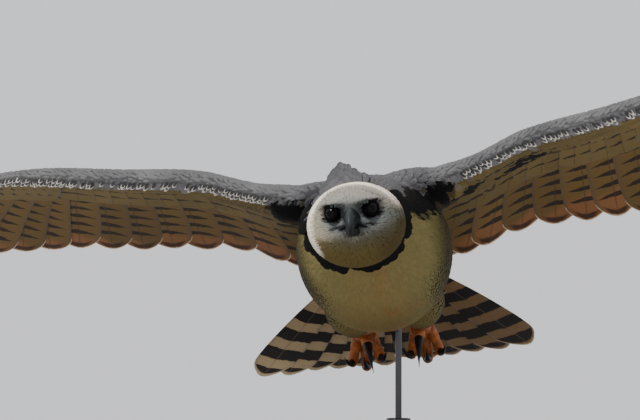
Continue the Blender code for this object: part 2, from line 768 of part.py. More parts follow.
def foot(side, leg):
    """One foot: shank and four curled toes, with a claw as its own node on each."""
    word = "left" if side > 0 else "right"
    ankle = Vector((side * 0.050, 0.172, -0.062))
    joint = Vector((side * 0.047, 0.268, -0.052))
    shank = tube(f"foot_{word}", [ankle, ankle.lerp(joint, 0.5) + Vector((0, 0, 0.002)), joint + Vector((0, 0.006, 0))],
                 [0.0125, 0.0120, 0.0150], 8, 6)
    toes, claws = [], []
    for name, length, start, curl, splay, radius, claw_length, claw_curl in TOES:
        origin = joint + Vector((side * 0.036 * math.sin(math.radians(splay)), 0.0, -0.003))
        points, heading = toe_route(origin, length, start, curl, splay, side)
        toes.append(tube(f"toe_{name}", points, [radius * 1.1, radius, radius * 1.02, radius * 0.92, radius * 0.98, radius * 0.80], 7, 8))
        tip = points[-1]
        back = (points[-1] - points[-2]).normalized()
        base = tip - back * radius * 0.9
        route, _ = toe_route(base, claw_length, math.degrees(heading), claw_curl, splay, side)
        claws.append((name, tube(f"claw_{word}_{name}", route, [radius * 0.74, radius * 0.70, radius * 0.52, radius * 0.34, radius * 0.14, 0.0003], 7, 7)))
    fuse(f"foot_{word}", shank, toes)
    clear_of(shank, leg)
    made = [shank]
    for name, claw in claws:
        clear_of(claw, shank)
        made.append(claw)
    return made


def disc(name, radius, low, high, steps, rounded=0.0, hole=0.0):
    """An upright disc or ring between two heights, with its rims rounded."""
    bm = bmesh.new()
    ends = [(radius - rounded, high), (radius, high - rounded), (radius, low + rounded / 3), (radius - rounded / 3, low)]
    if not rounded:
        ends = [(radius, high), (radius, low)]
    inner = hole if hole else 0.0
    profile = [bm.verts.new((inner, 0, high))] + [bm.verts.new((r, 0, z)) for r, z in ends] + [bm.verts.new((inner, 0, low))]
    edges = [bm.edges.new(pair) for pair in zip(profile, profile[1:])]
    if hole:
        edges.append(bm.edges.new((profile[-1], profile[0])))
    bmesh.ops.spin(bm, geom=profile + edges, cent=(0, 0, 0), axis=(0, 0, 1), angle=2 * math.pi, steps=steps, use_merge=True)
    bmesh.ops.remove_doubles(bm, verts=bm.verts, dist=1e-6)
    return object_from(bm, name)


def stand(torso):
    """A round base with one upright rod that ends in the belly."""
    base = disc("stand_base", BASE_RADIUS, 0.0, BASE_THICK, 40, 0.004)
    collar = disc("stand_collar", COLLAR_RADIUS, BASE_THICK + GAP, BASE_THICK + COLLAR_HEIGHT, 18, 0.002, ROD_RADIUS + GAP)
    inside = 0.012
    foot_of_rod = BASE_THICK + GAP
    hit, spot, _, _ = torso.ray_cast(FLIGHT.inverted() @ Vector((0, 0, 0)), (FLIGHT.inverted().to_3x3() @ Vector((0, 0, 1))).normalized())
    top = (FLIGHT @ spot).z + inside
    rod = disc("stand_rod", ROD_RADIUS, foot_of_rod, top, 16)
    socket = disc("socket", ROD_RADIUS + GAP, 0.05, top + GAP, 16)
    socket.data.transform(FLIGHT.inverted())
    cut(torso, socket)
    return [base, collar, rod]


def finish(objects, holder):
    """Gives each node its material and hangs the bird's nodes on the banked holder."""
    slate = material("slate_plumage", (0.16, 0.16, 0.17), 0.8)
    pale = material("pale_plumage", (0.55, 0.52, 0.42), 0.85)
    barred = material("barred_vanes", (0.36, 0.30, 0.22), 0.7)
    horn = material("horn", (0.03, 0.03, 0.035), 0.35)
    skin = material("toe_skin", (0.42, 0.22, 0.10), 0.6)
    iris = material("eye", (0.02, 0.018, 0.016), 0.08)
    wood = material("stand_wood", (0.09, 0.05, 0.03), 0.45)
    steel = material("stand_steel", (0.05, 0.05, 0.05), 0.4, 0.9)
    kinds = (
        ("wing", barred), ("tail", barred), ("head", slate), ("neck", slate), ("torso", pale), ("thigh", pale),
        ("foot", skin), ("claw", horn), ("bill", horn), ("eye", iris), ("stand_base", wood), ("stand", steel),
    )
    for obj in objects:
        finish_of = next(found for start, found in kinds if obj.name.startswith(start))
        obj.data.materials.clear()
        obj.data.materials.append(finish_of)
        if not obj.name.startswith("stand"):
            obj.parent = holder
        if obj.name.split("_")[0] in ("torso", "head", "neck", "thigh", "foot", "claw", "bill", "eye"):
            obj.data.shade_smooth()


def main():
    clear_scene()
    holder = bpy.data.objects.new("flight", None)
    bpy.context.scene.collection.objects.link(holder)
    holder.matrix_world = FLIGHT
    torso = body_surface()
    made = [torso]
    nape, head_parts = head_group()
    made += [*head_parts, neck(nape, torso)]
    for side in (-1, 1):
        made += wing(side, torso)
        leg = thigh(side, torso)
        made.append(leg)
        made += foot(side, leg)
    made.append(tail(torso))
    made += stand(torso)
    finish(made, holder)


main()
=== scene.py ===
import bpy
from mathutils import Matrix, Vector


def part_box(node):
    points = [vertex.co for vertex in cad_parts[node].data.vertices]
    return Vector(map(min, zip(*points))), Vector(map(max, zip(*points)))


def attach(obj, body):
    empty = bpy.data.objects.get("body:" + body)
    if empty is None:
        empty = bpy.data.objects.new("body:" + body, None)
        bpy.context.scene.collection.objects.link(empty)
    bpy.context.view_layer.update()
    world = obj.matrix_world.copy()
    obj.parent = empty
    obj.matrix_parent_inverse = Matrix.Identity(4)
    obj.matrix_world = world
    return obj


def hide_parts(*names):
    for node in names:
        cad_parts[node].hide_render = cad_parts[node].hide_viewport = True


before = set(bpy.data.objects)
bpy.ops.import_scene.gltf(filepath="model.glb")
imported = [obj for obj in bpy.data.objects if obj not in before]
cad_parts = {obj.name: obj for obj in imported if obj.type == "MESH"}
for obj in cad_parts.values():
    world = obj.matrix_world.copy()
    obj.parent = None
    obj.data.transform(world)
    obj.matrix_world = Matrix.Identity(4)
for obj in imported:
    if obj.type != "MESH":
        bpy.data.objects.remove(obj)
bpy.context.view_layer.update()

import math

import bmesh
import bpy
import numpy as np
from mathutils import Matrix, Vector
from mathutils.bvhtree import BVHTree
from mathutils.kdtree import KDTree

# The pose and the driving sizes in the bird's own frame: +X its left, +Y its tail, +Z its back, in metres
PITCH_UP, ROLL_LEFT_UP, YAW = 16.0, 6.5, -3.5
BODY_PLACE = (-0.036, -0.055, 0.290)
HEAD_AT, HEAD_TURN = (-0.010, -0.260, -0.022), (14.0, -3.0)
HEAD_HALF, FACE_DEPTH, NAPE_DEPTH = (0.0745, 0.0645), 0.050, 0.066
EYE_AT, EYE_RADIUS, EYE_TURN = (0.0275, -0.0425, 0.0200), 0.0115, 28.0
RUFF_AT = (-0.018, 0.000)
TAIL_FAN, TAIL_START, TAIL_LENGTH = (0.0, 0.100, 0.053), 0.115, 0.374
TAIL_SPREAD, TAIL_DROP, TAIL_TURN, TAIL_TILT = 25.5, 9.5, 1.8, 0.004
CREST_LENGTH, CREST_RISE = 0.104, 42.0
# How far back the head's own colours reach, in its frame
NAPE_CUT = 0.012
BASE_RADIUS, BASE_THICK, ROD_RADIUS = 0.185, 0.026, 0.005
COLLAR_RADIUS, COLLAR_HEIGHT, GAP = 0.019, 0.012, 0.0003
COAT_DEPTH = 0.0035
FACE_COAT = 0.0020
SKIN_CELL = 0.0030

FLIGHT = (
    Matrix.Translation(BODY_PLACE)
    @ Matrix.Rotation(math.radians(-ROLL_LEFT_UP), 4, "Y")
    @ Matrix.Rotation(math.radians(-PITCH_UP), 4, "X")
    @ Matrix.Rotation(math.radians(YAW), 4, "Z")
)
HEAD = (
    Matrix.Translation(HEAD_AT)
    @ Matrix.Rotation(math.radians(HEAD_TURN[0]), 4, "X")
    @ Matrix.Rotation(math.radians(HEAD_TURN[1]), 4, "Z")
)
FAN = (
    Matrix.Translation(TAIL_FAN)
    @ Matrix.Rotation(math.radians(TAIL_TURN), 4, "Z")
    @ Matrix.Rotation(math.radians(-TAIL_DROP), 4, "X")
)

# Sections of the torso and neck: share, y, middle z, half width, height up, depth down
BODY_SECTIONS = (
    (0.00, -0.205, 0.012, 0.000, 0.000, 0.000),
    (0.06, -0.185, 0.011, 0.062, 0.058, 0.058),
    (0.13, -0.150, 0.010, 0.079, 0.073, 0.075),
    (0.22, -0.112, 0.007, 0.098, 0.089, 0.093),
    (0.34, -0.068, 0.002, 0.116, 0.108, 0.110),
    (0.47, 0.000, 0.000, 0.121, 0.106, 0.117),
    (0.60, 0.075, 0.002, 0.107, 0.092, 0.108),
    (0.72, 0.140, 0.006, 0.084, 0.068, 0.086),
    (0.83, 0.190, 0.016, 0.066, 0.042, 0.062),
    (0.92, 0.226, 0.025, 0.052, 0.024, 0.036),
    (1.00, 0.250, 0.028, 0.000, 0.000, 0.000),
)
NECK_SECTIONS = (
    (0.00, -0.262, -0.024, 0.000, 0.000, 0.000),
    (0.10, -0.250, -0.018, 0.060, 0.052, 0.056),
    (0.35, -0.215, -0.008, 0.065, 0.060, 0.062),
    (0.65, -0.165, 0.005, 0.072, 0.070, 0.069),
    (0.90, -0.120, 0.010, 0.080, 0.078, 0.074),
    (1.00, -0.105, 0.010, 0.000, 0.000, 0.000),
)
# Front edge of the wing: x, y, middle z, thickness of the arm
WING_FRONT = (
    (0.030, -0.093, 0.060, 0.044),
    (0.100, -0.100, 0.079, 0.046),
    (0.170, -0.108, 0.092, 0.042),
    (0.250, -0.124, 0.116, 0.042),
    (0.370, -0.143, 0.130, 0.038),
    (0.460, -0.153, 0.143, 0.034),
    (0.520, -0.151, 0.151, 0.026),
    (0.600, -0.136, 0.158, 0.016),
    (0.660, -0.118, 0.162, 0.009),
    (0.850, -0.060, 0.178, 0.004),
    (1.020, 0.000, 0.212, 0.003),
)
# How far the rear of each wing hangs, per chord: x, right wing, left wing
WING_HANG = (
    (0.040, 0.030, 0.044),
    (0.130, 0.030, 0.044),
    (0.190, 0.012, 0.038),
    (0.270, 0.006, 0.040),
    (0.340, 0.005, 0.050),
    (0.460, 0.005, 0.060),
    (0.700, 0.012, 0.056),
    (1.020, 0.020, 0.050),
)
ARM_REAR = (
    (0.040, 0.062),
    (0.100, 0.056),
    (0.190, 0.046),
    (0.300, 0.002),
    (0.400, -0.042),
    (0.460, -0.060),
    (0.520, -0.086),
    (0.600, -0.106),
    (0.660, -0.112),
)
# Feather rows along the wing: share, root x, root y, lean, length, half width
SECONDARY_ROW = (
    (0.00, 0.442, -0.080, 6.5, 0.330, 0.037),
    (0.50, 0.292, -0.022, -3.0, 0.276, 0.036),
    (0.80, 0.198, 0.018, -12.0, 0.238, 0.035),
    (1.00, 0.140, 0.024, -9.0, 0.218, 0.034),
)
PRIMARY_ROW = (
    (0.00, 0.470, -0.086, 12.5, 0.338, 0.037),
    (0.33, 0.514, -0.098, 28.0, 0.382, 0.035),
    (0.60, 0.552, -0.108, 48.0, 0.430, 0.032),
    (0.80, 0.584, -0.114, 65.0, 0.440, 0.029),
    (1.00, 0.616, -0.124, 80.0, 0.350, 0.023),
)
UPPER_COVERT_ROW = (
    (0.00, 0.436, -0.088, 8.0, 0.150, 0.031),
    (0.50, 0.300, -0.036, -3.0, 0.132, 0.030),
    (1.00, 0.140, 0.014, -10.0, 0.122, 0.028),
)
UNDER_COVERT_ROW = (
    (0.00, 0.436, -0.088, 7.0, 0.122, 0.029),
    (0.50, 0.300, -0.036, -4.0, 0.108, 0.028),
    (1.00, 0.150, 0.014, -12.0, 0.098, 0.027),
)
MEDIAN_COVERT_ROW = (
    (0.00, 0.436, -0.108, 12.0, 0.080, 0.023),
    (0.50, 0.300, -0.070, 0.0, 0.086, 0.023),
    (1.00, 0.140, -0.030, -8.0, 0.092, 0.023),
)
UPPER_HAND_ROW = (
    (0.00, 0.478, -0.094, 16.0, 0.142, 0.026),
    (0.50, 0.520, -0.110, 42.0, 0.150, 0.023),
    (1.00, 0.590, -0.121, 76.0, 0.130, 0.017),
)
UNDER_HAND_ROW = (
    (0.00, 0.478, -0.094, 15.0, 0.118, 0.026),
    (0.50, 0.520, -0.110, 40.0, 0.125, 0.023),
    (1.00, 0.586, -0.119, 74.0, 0.108, 0.017),
)
# Half width of a vane along its length, as a share of its greatest
BROAD_VANE = ((0.0, 0.32), (0.30, 0.88), (0.62, 1.00), (0.89, 0.96), (1.0, 0.90))
FINGER_VANE = ((0.0, 0.34), (0.30, 0.96), (0.52, 0.90), (0.80, 0.56), (1.0, 0.40))
COVERT_SHAPE = ((0.0, 0.50), (0.40, 0.95), (0.80, 0.98), (1.0, 0.90))
CREST_SHAPE = ((0.0, 0.55), (0.45, 1.00), (0.80, 0.90), (1.0, 0.60))


def along(stations, key):
    """The columns of a table, read as smooth curves at each key."""
    table = np.asarray(stations, float)
    last = len(table) - 1
    key = np.clip(np.asarray(key, float), table[0, 0], table[-1, 0])
    i = np.clip(np.searchsorted(table[:, 0], key) - 1, 0, last - 1)
    before, a, b, after = table[np.maximum(i - 1, 0)], table[i], table[i + 1], table[np.minimum(i + 2, last)]
    step = b[..., :1] - a[..., :1]
    t = (key[..., None] - a[..., :1]) / step
    slope_a = (b - before) / (b[..., :1] - before[..., :1]) * step
    slope_b = (after - a) / (after[..., :1] - a[..., :1]) * step
    bend = 2 * a - 2 * b + slope_a + slope_b
    values = a + t * (slope_a + t * (3 * (b - a) - 2 * slope_a - slope_b + t * bend))
    return np.moveaxis(values[..., 1:], -1, 0)


def ease(value, low, high):
    """0 below low, 1 above high and smooth between."""
    t = np.clip((np.asarray(value, float) - low) / (high - low), 0, 1)
    return t * t * (3 - 2 * t)


def hill(distance, spread):
    return np.exp(-((distance / spread) ** 2))


def moved(points, matrix):
    turn = np.array(matrix.to_3x3())
    return points @ turn.T + np.array(matrix.translation)


def unit(vectors):
    return vectors / np.maximum(np.linalg.norm(vectors, axis=-1, keepdims=True), 1e-12)


def tint(red, green, blue):
    """A display colour, 0 to 255, as linear light."""
    value = np.array((red, green, blue)) / 255
    return np.where(value <= 0.04045, value / 12.92, ((value + 0.055) / 1.055) ** 2.4)


def blended(low, high, share):
    """From one colour or vector to another, by a share for each point."""
    return low + (high - low) * np.asarray(share)[..., None]


def xyz(x, y, z):
    """Rows of three numbers from three columns or single numbers."""
    return np.stack(np.broadcast_arrays(x, y, z), -1)


def sphere(polar, turn):
    """Directions at an angle from the pole and a turn about it."""
    flat = np.sin(polar)
    return xyz(flat * np.cos(turn), flat * np.sin(turn), np.cos(polar))


def around(right, up, turn):
    """Directions about an axis, from those to its right and above it."""
    return right * np.cos(turn)[..., None] + up * np.sin(turn)[..., None]


def trunk_place(sections, drift=0.0):
    """The torso or the neck by its sections, drifting aside towards its front."""
    def place(share, turn):
        y, middle, half, up, down = along(sections, share)
        reach = np.where(np.sin(turn) > 0, up, down)
        shrink = np.clip(1 - COAT_DEPTH / np.maximum(half, COAT_DEPTH), 0, 1)
        x = drift * (1 - share) + half * shrink * np.cos(turn)
        return xyz(x, y, middle + reach * shrink * np.sin(turn))

    return place


def head_place(share, turn):
    """The disc of the face with brow, eye hollows, lores and the base of the bill, and the round nape."""
    half_x, half_z = HEAD_HALF[0] - FACE_COAT, HEAD_HALF[1] - FACE_COAT
    flat = np.sin(math.pi * share)
    x, z = half_x * flat * np.cos(turn), half_z * flat * np.sin(turn)
    rise = np.cos(math.pi * share)
    front = np.maximum(0, rise)
    y = -(FACE_DEPTH - FACE_COAT) * front**0.72 + (NAPE_DEPTH - FACE_COAT) * np.maximum(0, -rise) ** 0.95
    fade = front**0.5
    aside = np.abs(x) - 0.026
    y -= fade * 0.012 * hill(x, 0.034) * hill(z - 0.040, 0.020)
    y -= fade * 0.016 * hill(aside, 0.019) * hill(z - 0.0335, 0.0050)
    y += fade * 0.014 * hill(aside, 0.014) * hill(z - 0.0160, 0.0110)
    y -= fade * 0.012 * hill(x, 0.015) * hill(z - 0.010, 0.018)
    y -= fade * 0.010 * hill(x, 0.026) * hill(z + 0.010, 0.012)
    y -= fade * 0.004 * hill(flat - 0.90, 0.07)
    return moved(xyz(x, y, z), HEAD)


def wing_middle(side, x, y):
    """Height of a wing's middle surface over its plan, with the camber of its section."""
    front, height, _ = along(WING_FRONT, x)
    chord = (y - front) / 0.40
    camber = 0.020 * np.sin(math.pi * np.clip(chord, 0, 1.05) ** 0.72)
    hang = along(WING_HANG, x)[1 if side > 0 else 0]
    return height + camber * (1 - np.maximum(0, x - 0.5)) - hang * np.maximum(chord, 0)


def wing_point(side, x, y, offset):
    return xyz(side * x, y, wing_middle(side, x, y) + offset)


def arm_place(side):
    """The flesh of one wing, from the shoulder to the hand."""
    inner, outer, depth = 0.030, 0.640, 0.0022

    def place(share, turn):
        x = inner + (outer - inner) * share
        front, _, thick = along(WING_FRONT, x)
        (rear,) = along(ARM_REAR, x)
        back = (1 - np.cos(turn)) / 2
        close = np.sqrt(np.maximum(0, 1 - np.maximum(0, (share - 0.90) / 0.10) ** 2))
        close = close * np.minimum(1, share / 0.02)
        middle = (front + rear) / 2
        y = middle + (front + (rear - front) * back - middle) * close
        nose, thin = 0.30, 0.0050
        round_front = thick / 2 * np.sqrt(np.maximum(0, 1 - (1 - np.minimum(back, nose) / nose) ** 2))
        taper = thick / 2 + (np.minimum(thin, thick / 2) - thick / 2) * (back - nose) / (1 - nose)
        taper = taper * np.sqrt(np.maximum(0, 1 - np.maximum(0, (back - 0.92) / 0.08) ** 2))
        half = np.maximum(0, np.where(back < nose, round_front, taper) * close - depth)
        y = y + depth * np.cos(turn)
        return wing_point(side, x, y, np.sign(np.sin(turn)) * half * (np.abs(np.sin(turn)) > 1e-6))

    return place


def thigh_place(side):
    hip, ankle = np.array((side * 0.060, 0.040, -0.048)), np.array((side * 0.050, 0.192, -0.062))
    sections = ((0.0, 0.0), (0.12, 0.030), (0.40, 0.040), (0.70, 0.032), (0.90, 0.020), (1.0, 0.0))
    ahead = unit(ankle - hip)
    right = unit(np.cross(ahead, (0, 0, 1)))
    up = np.cross(right, ahead)

    def place(share, turn):
        (radius,) = along(sections, share)
        radius = np.maximum(0, radius - COAT_DEPTH)[..., None]
        spot = hip + (ankle - hip) * share[..., None]
        return spot + around(right, up, turn) * radius

    return place


def rump_place(share, turn):
    swell = np.maximum(0, np.sin(math.pi * share))
    half, thick = 0.057 * swell**0.6 - COAT_DEPTH, 0.017 * swell**0.7 - COAT_DEPTH
    half, thick = np.maximum(half, 0), np.maximum(thick, 0)
    return moved(xyz(half * np.cos(turn), 0.082 + 0.108 * share, thick * np.sin(turn)), FAN)


def shoulder_place(side):
    """The mantle's soft swell over one wing root."""
    centre = np.array((side * 0.072, -0.048, 0.078))
    radii = np.array((0.080, 0.068, 0.036 if side > 0 else 0.033)) - COAT_DEPTH

    return lambda share, turn: centre + sphere(math.pi * share, turn) * radii


def object_of(bm, name, matrix=None):
    """The bmesh as a named object with its faces pointing out, in the frame of the solids."""
    bmesh.ops.remove_doubles(bm, verts=bm.verts, dist=1e-7)
    bmesh.ops.recalc_face_normals(bm, faces=bm.faces)
    if bm.calc_volume(signed=True) < 0:
        bmesh.ops.reverse_faces(bm, faces=bm.faces)
    if matrix is not None:
        bm.transform(matrix)
    mesh = bpy.data.meshes.new(name)
    bm.to_mesh(mesh)
    bm.free()
    made = bpy.data.objects.new(name, mesh)
    bpy.context.scene.collection.objects.link(made)
    return made


def shell(bm, place, segments, rings):
    """Adds a closed ball to the bmesh, shaped by place(share from pole to pole, turn)."""
    made = bmesh.ops.create_uvsphere(bm, u_segments=segments, v_segments=rings, radius=1)["verts"]
    start = np.array([v.co for v in made])
    share = np.arccos(np.clip(start[:, 2], -1, 1)) / math.pi
    for v, spot in zip(made, place(share, np.arctan2(start[:, 1], start[:, 0]))):
        v.co = spot


def ball(name, place, segments, rings, matrix=FLIGHT):
    bm = bmesh.new()
    shell(bm, place, segments, rings)
    return object_of(bm, name, matrix)


def make_skin():
    """One skin over torso, neck, head, wings, rump and thighs, in the bird's own frame."""
    bm = bmesh.new()
    shell(bm, trunk_place(BODY_SECTIONS), 64, 60)
    shell(bm, trunk_place(NECK_SECTIONS, -0.014), 56, 24)
    shell(bm, head_place, 96, 72)
    shell(bm, rump_place, 32, 20)
    for side in (-1, 1):
        shell(bm, arm_place(side), 40, 90)
        shell(bm, shoulder_place(side), 40, 30)
        shell(bm, thigh_place(side), 32, 24)
    skin = object_of(bm, "skin")
    remesh = skin.modifiers.new("Remesh", "REMESH")
    remesh.mode = "VOXEL"
    remesh.voxel_size = SKIN_CELL
    smooth = skin.modifiers.new("Smooth", "SMOOTH")
    smooth.iterations = 5
    smooth.factor = 0.5
    graph = bpy.context.evaluated_depsgraph_get()
    mesh = bpy.data.meshes.new_from_object(skin.evaluated_get(graph))
    skin.modifiers.clear()
    skin.data = mesh
    return skin


def read_rows(items, key, kind=float):
    """One property of a mesh's points or triangles as rows of three."""
    flat = np.empty(len(items) * 3, kind)
    items.foreach_get(key, flat)
    return flat.reshape(-1, 3)


def add_hue(mesh, hue):
    """Lays a colour on each point of a mesh."""
    rows = np.column_stack((hue, np.ones(len(hue))))
    mesh.attributes.new("hue", "FLOAT_COLOR", "POINT").data.foreach_set("color", rows.ravel())


class Ground:
    """The skin's surface, as what the plumage is laid on."""

    def __init__(self, skin):
        mesh = skin.data
        mesh.calc_loop_triangles()
        self.points = read_rows(mesh.vertices, "co")
        self.normals = read_rows(mesh.vertices, "normal")
        self.corners = read_rows(mesh.loop_triangles, "vertices", int)
        self.tree = BVHTree.FromPolygons(self.points.tolist(), self.corners.tolist())

    def nearest(self, points):
        """The nearest points of the skin, and its smooth normals there."""
        found = np.empty((len(points), 3))
        faces = np.empty(len(points), int)
        for n, point in enumerate(points.tolist()):
            spot, _, face, _ = self.tree.find_nearest(point)
            found[n] = spot
            faces[n] = face
        corners = self.corners[faces]
        a, b, c = (self.points[corners[:, k]] for k in range(3))
        across, forth, out = b - a, c - a, found - a
        d00, d01, d11 = (across * across).sum(1), (across * forth).sum(1), (forth * forth).sum(1)
        d20, d21 = (out * across).sum(1), (out * forth).sum(1)
        area = np.maximum(d00 * d11 - d01 * d01, 1e-18)
        v = (d11 * d20 - d01 * d21) / area
        w = (d00 * d21 - d01 * d20) / area
        weights = np.stack((1 - v - w, v, w), -1)[..., None]
        return found, unit((self.normals[corners] * weights).sum(1))

    def scatter(self, rng, chosen, spacing, tries=9):
        """Random points on the skin, at least spacing apart, where chosen(points, normals) holds."""
        a, b, c = (self.points[self.corners[:, k]] for k in range(3))
        centre = (a + b + c) / 3
        cross = np.cross(b - a, c - a)
        area = np.linalg.norm(cross, axis=1) / 2
        facing = unit(cross)
        weight = np.where(chosen(centre, facing), area / spacing**2, 0)
        picks = rng.choice(len(weight), size=int(tries * weight.sum()), p=weight / weight.sum())
        r, s = rng.random(len(picks)), rng.random(len(picks))
        r, s = np.where(r + s > 1, 1 - r, r), np.where(r + s > 1, 1 - s, s)
        spots = a[picks] + (b - a)[picks] * r[:, None] + (c - a)[picks] * s[:, None]
        normals = unit(self.normals[self.corners[picks]].mean(1))
        tree = KDTree(len(spots))
        listed = spots.tolist()
        for n, spot in enumerate(listed):
            tree.insert(spot, n)
        tree.balance()
        free = np.ones(len(spots), bool)
        kept = []
        for n, spot in enumerate(listed):
            if free[n]:
                kept.append(n)
                for _, other, _ in tree.find_range(spot, spacing):
                    free[other] = False
        return spots[kept], normals[kept]


def wing_share(points):
    """1 on the wings and 0 on the body, whose flanks bulge out below the wing roots."""
    side, height = np.abs(points[:, 0]), points[:, 2]
    return np.maximum(ease(side, 0.122, 0.130), ease(side, 0.086, 0.104) * ease(height, 0.044, 0.054))


def unwrapped(points, normals):
    """Where points of the skin lie on its unwrap: the body's girth by its length, each wing's faces flat."""
    x, y, z = points.T
    girth = np.arctan2(x, z - 0.005) / (2 * math.pi) + 0.5
    body = np.stack((0.02 + 0.45 * girth, 0.02 + 0.95 * (y + 0.36) / 0.66), -1)
    tile = 2 * (x > 0) + (normals[:, 2] > 0)
    tall = (tile + 0.06 + 0.88 * (y + 0.20) / 0.33) / 4
    flat = np.stack((0.52 + 0.45 * (np.abs(x) - 0.09) / 0.58, tall), -1)
    return np.where((wing_share(points) > 0.5)[:, None], flat, body)


def finish_skin(skin, ground, materials):
    """Gives the skin the colours and the bake map that the small feathers have."""
    mesh = skin.data
    add_hue(mesh, plumage(ground.points, ground.normals)[0])
    corners = np.empty(len(mesh.loops), int)
    mesh.loops.foreach_get("vertex_index", corners)
    flat = unwrapped(ground.points, ground.normals)
    mesh.uv_layers.new(name="OFBake").data.foreach_set("uv", flat[corners].ravel())
    mesh.transform(FLIGHT)
    mesh.shade_smooth()
    dressed(skin, materials["skin"], "pale_plumage", "torso", "neck", "head", "thigh_left", "thigh_right")


class Plumes:
    """Many feathers gathered as the arrays of one joined mesh."""

    def __init__(self, rng, cells=16):
        self.rng, self.cells = rng, cells
        self.parts, self.count, self.vanes = [], 0, 0

    def add(self, points, quads, *rest):
        """Beside points and quads: lie, hue and mark for each point, patch and shading for each corner."""
        self.parts.append((points, quads + self.count, *rest))
        self.count += len(points)

    def made(self, name, material, slot, *nodes):
        points, quads, lie, hue, mark, patch, shading = (np.concatenate(group) for group in zip(*self.parts))
        mesh = bpy.data.meshes.new(name)
        mesh.vertices.add(len(points))
        mesh.vertices.foreach_set("co", moved(points, FLIGHT).ravel())
        mesh.loops.add(quads.size)
        mesh.loops.foreach_set("vertex_index", quads.ravel())
        mesh.polygons.add(len(quads))
        mesh.polygons.foreach_set("loop_start", np.arange(len(quads)) * 4)
        mesh.polygons.foreach_set("use_smooth", np.ones(len(quads), bool))
        mesh.update(calc_edges=True)
        for key, values in (("lie", lie), ("mark", mark)):
            mesh.attributes.new(key, "FLOAT_VECTOR", "POINT").data.foreach_set("vector", values.ravel())
        add_hue(mesh, hue)
        mesh.uv_layers.new(name="OFBake").data.foreach_set("uv", patch.ravel())
        mesh.normals_split_custom_set(unit(shading @ np.array(FLIGHT.to_3x3()).T).tolist())
        made = bpy.data.objects.new(name, mesh)
        bpy.context.scene.collection.objects.link(made)
        return dressed(made, material, slot, *nodes)

    def lay(self, ground, shape, roots, normals, lie, length, width, lift, hue, mark, base=-0.0004):
        """Lays one small feather at each root along its lie, following the skin and rising to its tip."""
        rng = self.rng
        across, forth, layer, quads = shape
        count, corners = len(roots), len(across)
        lie = unit(lie - normals * (lie * normals).sum(1, keepdims=True))
        swing = rng.normal(0, 0.10, count)[:, None]
        side = np.cross(lie, normals)
        lie, side = lie * np.cos(swing) + side * np.sin(swing), side * np.cos(swing) - lie * np.sin(swing)
        reach = forth[None, :] * (length * rng.uniform(0.86, 1.14, count))[:, None]
        spread = across[None, :] * width
        spots = roots[:, None] + lie[:, None] * reach[..., None] + side[:, None] * spread[..., None]
        found, out = ground.nearest(spots.reshape(-1, 3))
        lift = (lift * rng.uniform(0.75, 1.25, count))[:, None]
        rise = base + (lift - base) * forth[None, :] ** 0.8
        rise = rise - 0.05 * np.abs(spread) + layer * SMALL_THICK / 2
        points = found + out * rise.reshape(-1, 1)
        lies = xyz(forth[None, :], across[None, :], rng.random(count)[:, None]).reshape(-1, 3)
        home = unwrapped(roots, normals)
        patch = home[:, None] + np.stack((across, forth - 0.5), -1)[None] * (0.0012, 0.0026)
        faces = (quads[None] + np.arange(count)[:, None, None] * corners).reshape(-1, 4)
        patch = patch.reshape(-1, 2)[faces.ravel()]
        sides = np.repeat(side[:, None], corners, 1) * across[None, :, None] * 0.22
        soft = out.reshape(count, corners, 3) + sides + 0.15 * lie[:, None] * forth[None, :, None]
        face_up = np.tile(np.repeat((1.0, -1.0), 4), len(faces) // 2)
        shading = soft.reshape(-1, 3)[faces.ravel()] * face_up[:, None]
        self.add(points, faces, lies, np.repeat(hue, corners, 0), np.repeat(mark, corners, 0), patch, shading)

    def vane(
        self, grid, place, length, thick, top_hue, low_hue, axis=(0, 0, 1), shaft=0.0007, kind=0.0, tip=None,
    ):
        """Adds one long feather laid by place(u, v), its shaft a low ridge.

        kind, a number or a function of the points, is 1 for a reddish tip painted as light shining through
        and -1 for black. The lie holds v or, where the vane rounds off from the share tip of its length, how
        far its end is.
        """
        u, v, layer, top, low = grid
        points = place(u, v)
        half = thick / 2 * (1 - 0.7 * u * u) + shaft / 2 * hill(u, 0.10) * (1 - 0.8 * v)
        points = points + np.asarray(axis) * (layer * half)[:, None]
        far = v
        if tip:
            far = (tip + (1 - tip) * np.sqrt(np.maximum(0, 1 - (u * closing(v, tip)) ** 2)) - v) * length
        lie = xyz(far, u, self.rng.random())
        under = (1 - layer) / 2
        mark = xyz((1 - v) * length, under, kind(points) if callable(kind) else kind)
        quads = np.concatenate((top, low))
        row, column = divmod(self.vanes, self.cells)
        self.vanes += 1
        flat = np.stack(((u + 1) * 0.22 + 0.02, v * 0.92 + 0.04), -1)
        shift = np.zeros((quads.size, 2))
        shift[top.size:, 0] = 0.5
        patch = (flat[quads.ravel()] + shift + (column, row)) / self.cells
        shading = np.concatenate((facing(points, top), facing(points, low)))
        self.add(points, quads, lie, blended(top_hue, low_hue, under), mark, patch, shading)


def dressed(made, material, slot, *nodes):
    """Gives a finished piece its material, its place on the model and the solids that it stands for."""
    made.data.materials.clear()
    made.data.materials.append(material)
    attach(made, "root")
    if nodes:
        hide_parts(*nodes)
    return made


